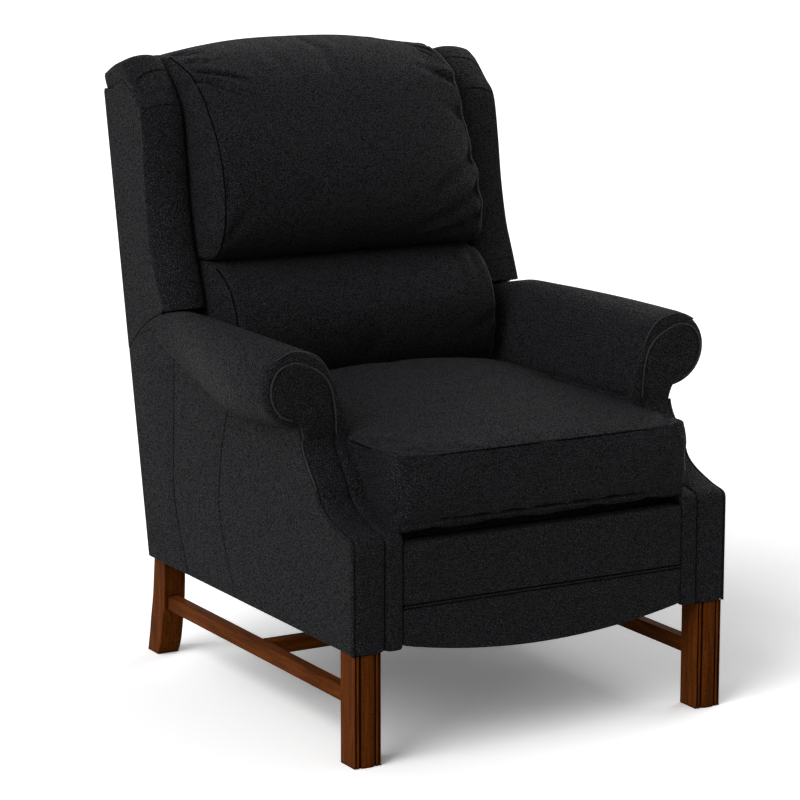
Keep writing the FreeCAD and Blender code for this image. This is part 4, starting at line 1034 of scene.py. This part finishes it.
HEAD_FOLDS = [([(-250, 851, 1067), (-225, 825, 1077), (-200, 830, 1079)], 2.8, 10),
              ([(-246, 800, 1056), (-226, 778, 1060), (-208, 786, 1060)], 2.7, 10),
              ([(-248, 762, 1047), (-215, 735, 1048), (-166, 686, 1050)], 2.8, 11),
              ([(-252, 752, 1025), (-222, 712, 1021), (-184, 668, 1019)], 2.6, 10),
              ([(257, 770, 1056), (240, 800, 1066), (222, 812, 1072)], 2.4, 8),
              ([(259, 745, 1043), (236, 760, 1055), (214, 790, 1064)], 2.5, 8),
              ([(260, 718, 1012), (240, 716, 1022), (214, 728, 1030)], 2.3, 7)]
head = pillow("head_pillow_leather", across(head_ring, 260), 277, 74)
finished(head, 261, [head_ring(0, -262)[:9], head_ring(0, 262)[:9]], HEAD_WRINKLES, HEAD_FOLDS, 0.009)
lumbar = pillow("lumbar_pillow_leather", across(lambda full, x: lumbar_ring(full), 261), 276, 56)
finished(lumbar, 262, [lumbar_ring(0)[:7]] * 2, LUMBAR_WRINKLES, [], 0.008)

# %% [markdown]
# The studio is a pale floor under soft light. The floor and the sky show white to the
# camera and to shiny surfaces, while the chair's own light stays at a plain level, and the
# floor still carries the chair's shadow.

# %% Floor
def any_ray(tree, *kinds):
    """One where a ray of one of these kinds arrives, and nought elsewhere."""
    rays = node(tree, "LightPath").outputs
    found = rays["Is %s Ray" % kinds[0]]
    for kind in kinds[1:]:
        found = node(tree, "Math", {0: found, 1: rays["Is %s Ray" % kind]}, operation="MAXIMUM").outputs[0]
    return found


alone()
bpy.ops.mesh.primitive_plane_add(size=60, location=(0, 0, 0))
floor = bpy.context.object
floor.name = "studio_floor"
pale, tree, shader = new_material("studio_floor")
seen = any_ray(tree, "Camera", "Glossy", "Transmission")
lift = node(tree, "Math", {0: seen, 1: 0.03}, operation="MULTIPLY")
glow = node(tree, "Emission", {"Strength": lift.outputs[0]})
tone = blended(tree, seen, (0.42, 0.42, 0.42, 1), (1.5, 1.5, 1.5, 1))
fed(tree, shader, {"Base Color": tone, "Roughness": 0.9, "Specular IOR Level": 0.0})
both_shaders = node(tree, "AddShader", {0: shader.outputs[0], 1: glow.outputs[0]})
fed(tree, tree.nodes["Material Output"], {"Surface": both_shaders.outputs[0]})
floor.data.materials.append(pale)
print("floor laid")

# %% [markdown]
# The sky is plain white. What the camera and shiny surfaces see of it is at full strength,
# and the light that it throws on the chair is about a quarter of that.

# %% Sky
SKY_LIGHT = 0.26
world = bpy.context.scene.world or bpy.data.worlds.new("studio")
bpy.context.scene.world = world
world.use_nodes = True
tree = world.node_tree
level = ranged(tree, any_ray(tree, "Camera", "Glossy"), {"To Min": SKY_LIGHT})
fed(tree, tree.nodes["Background"], {"Color": (1, 1, 1, 1), "Strength": level})
print("sky strength on the chair", SKY_LIGHT)

# %% [markdown]
# Four wide, soft lamps are aimed at the seat: a strong one from the left, weaker ones from
# the right rear and the front, and a faint one overhead.

# %% Lamps
AIM = Vector((0, 0, 0.4))
LAMPS = {"overhead_light": ((-0.3, 0.3, 4.0), 0.15, 40), "left_light": ((-3.4, -0.9, 3.1), 1.8, 44),
         "right_rear_light": ((3.0, 1.2, 2.5), 0.7, 36), "front_light": ((-2.6, -2.4, 1.9), 0.52, 50)}
for name, (place, energy, spread) in LAMPS.items():
    alone()
    bpy.ops.object.light_add(type="SUN", location=place)
    light = bpy.context.object
    light.name = name
    light.data.energy, light.data.angle = energy, math.radians(spread)
    light.rotation_euler = (AIM - Vector(place)).to_track_quat("-Z", "Y").to_euler()
print("lamps", len(LAMPS))

# %% [markdown]
# The camera stands ahead and to the left, a little above the seat, with a long lens, which
# keeps the chair's upright lines nearly parallel.

# %% Camera
TOWARDS_CAMERA = Vector((-0.48797, -0.85066, 0.19560)).normalized()
alone()
bpy.ops.object.camera_add(location=(-2.6125, -4.5278, 1.5309))
camera = bpy.context.object
camera.name = "camera"
camera.data.lens = 137.69
camera.data.sensor_width = 36
camera.rotation_euler = TOWARDS_CAMERA.to_track_quat("Z", "Y").to_euler()
bpy.context.scene.camera = camera
bpy.context.scene.view_settings.view_transform = "Standard"
print("camera", tuple(round(c, 3) for c in camera.location))

# %% [markdown]
# Last, nothing is left selected.

# %% Clear the selection
alone()
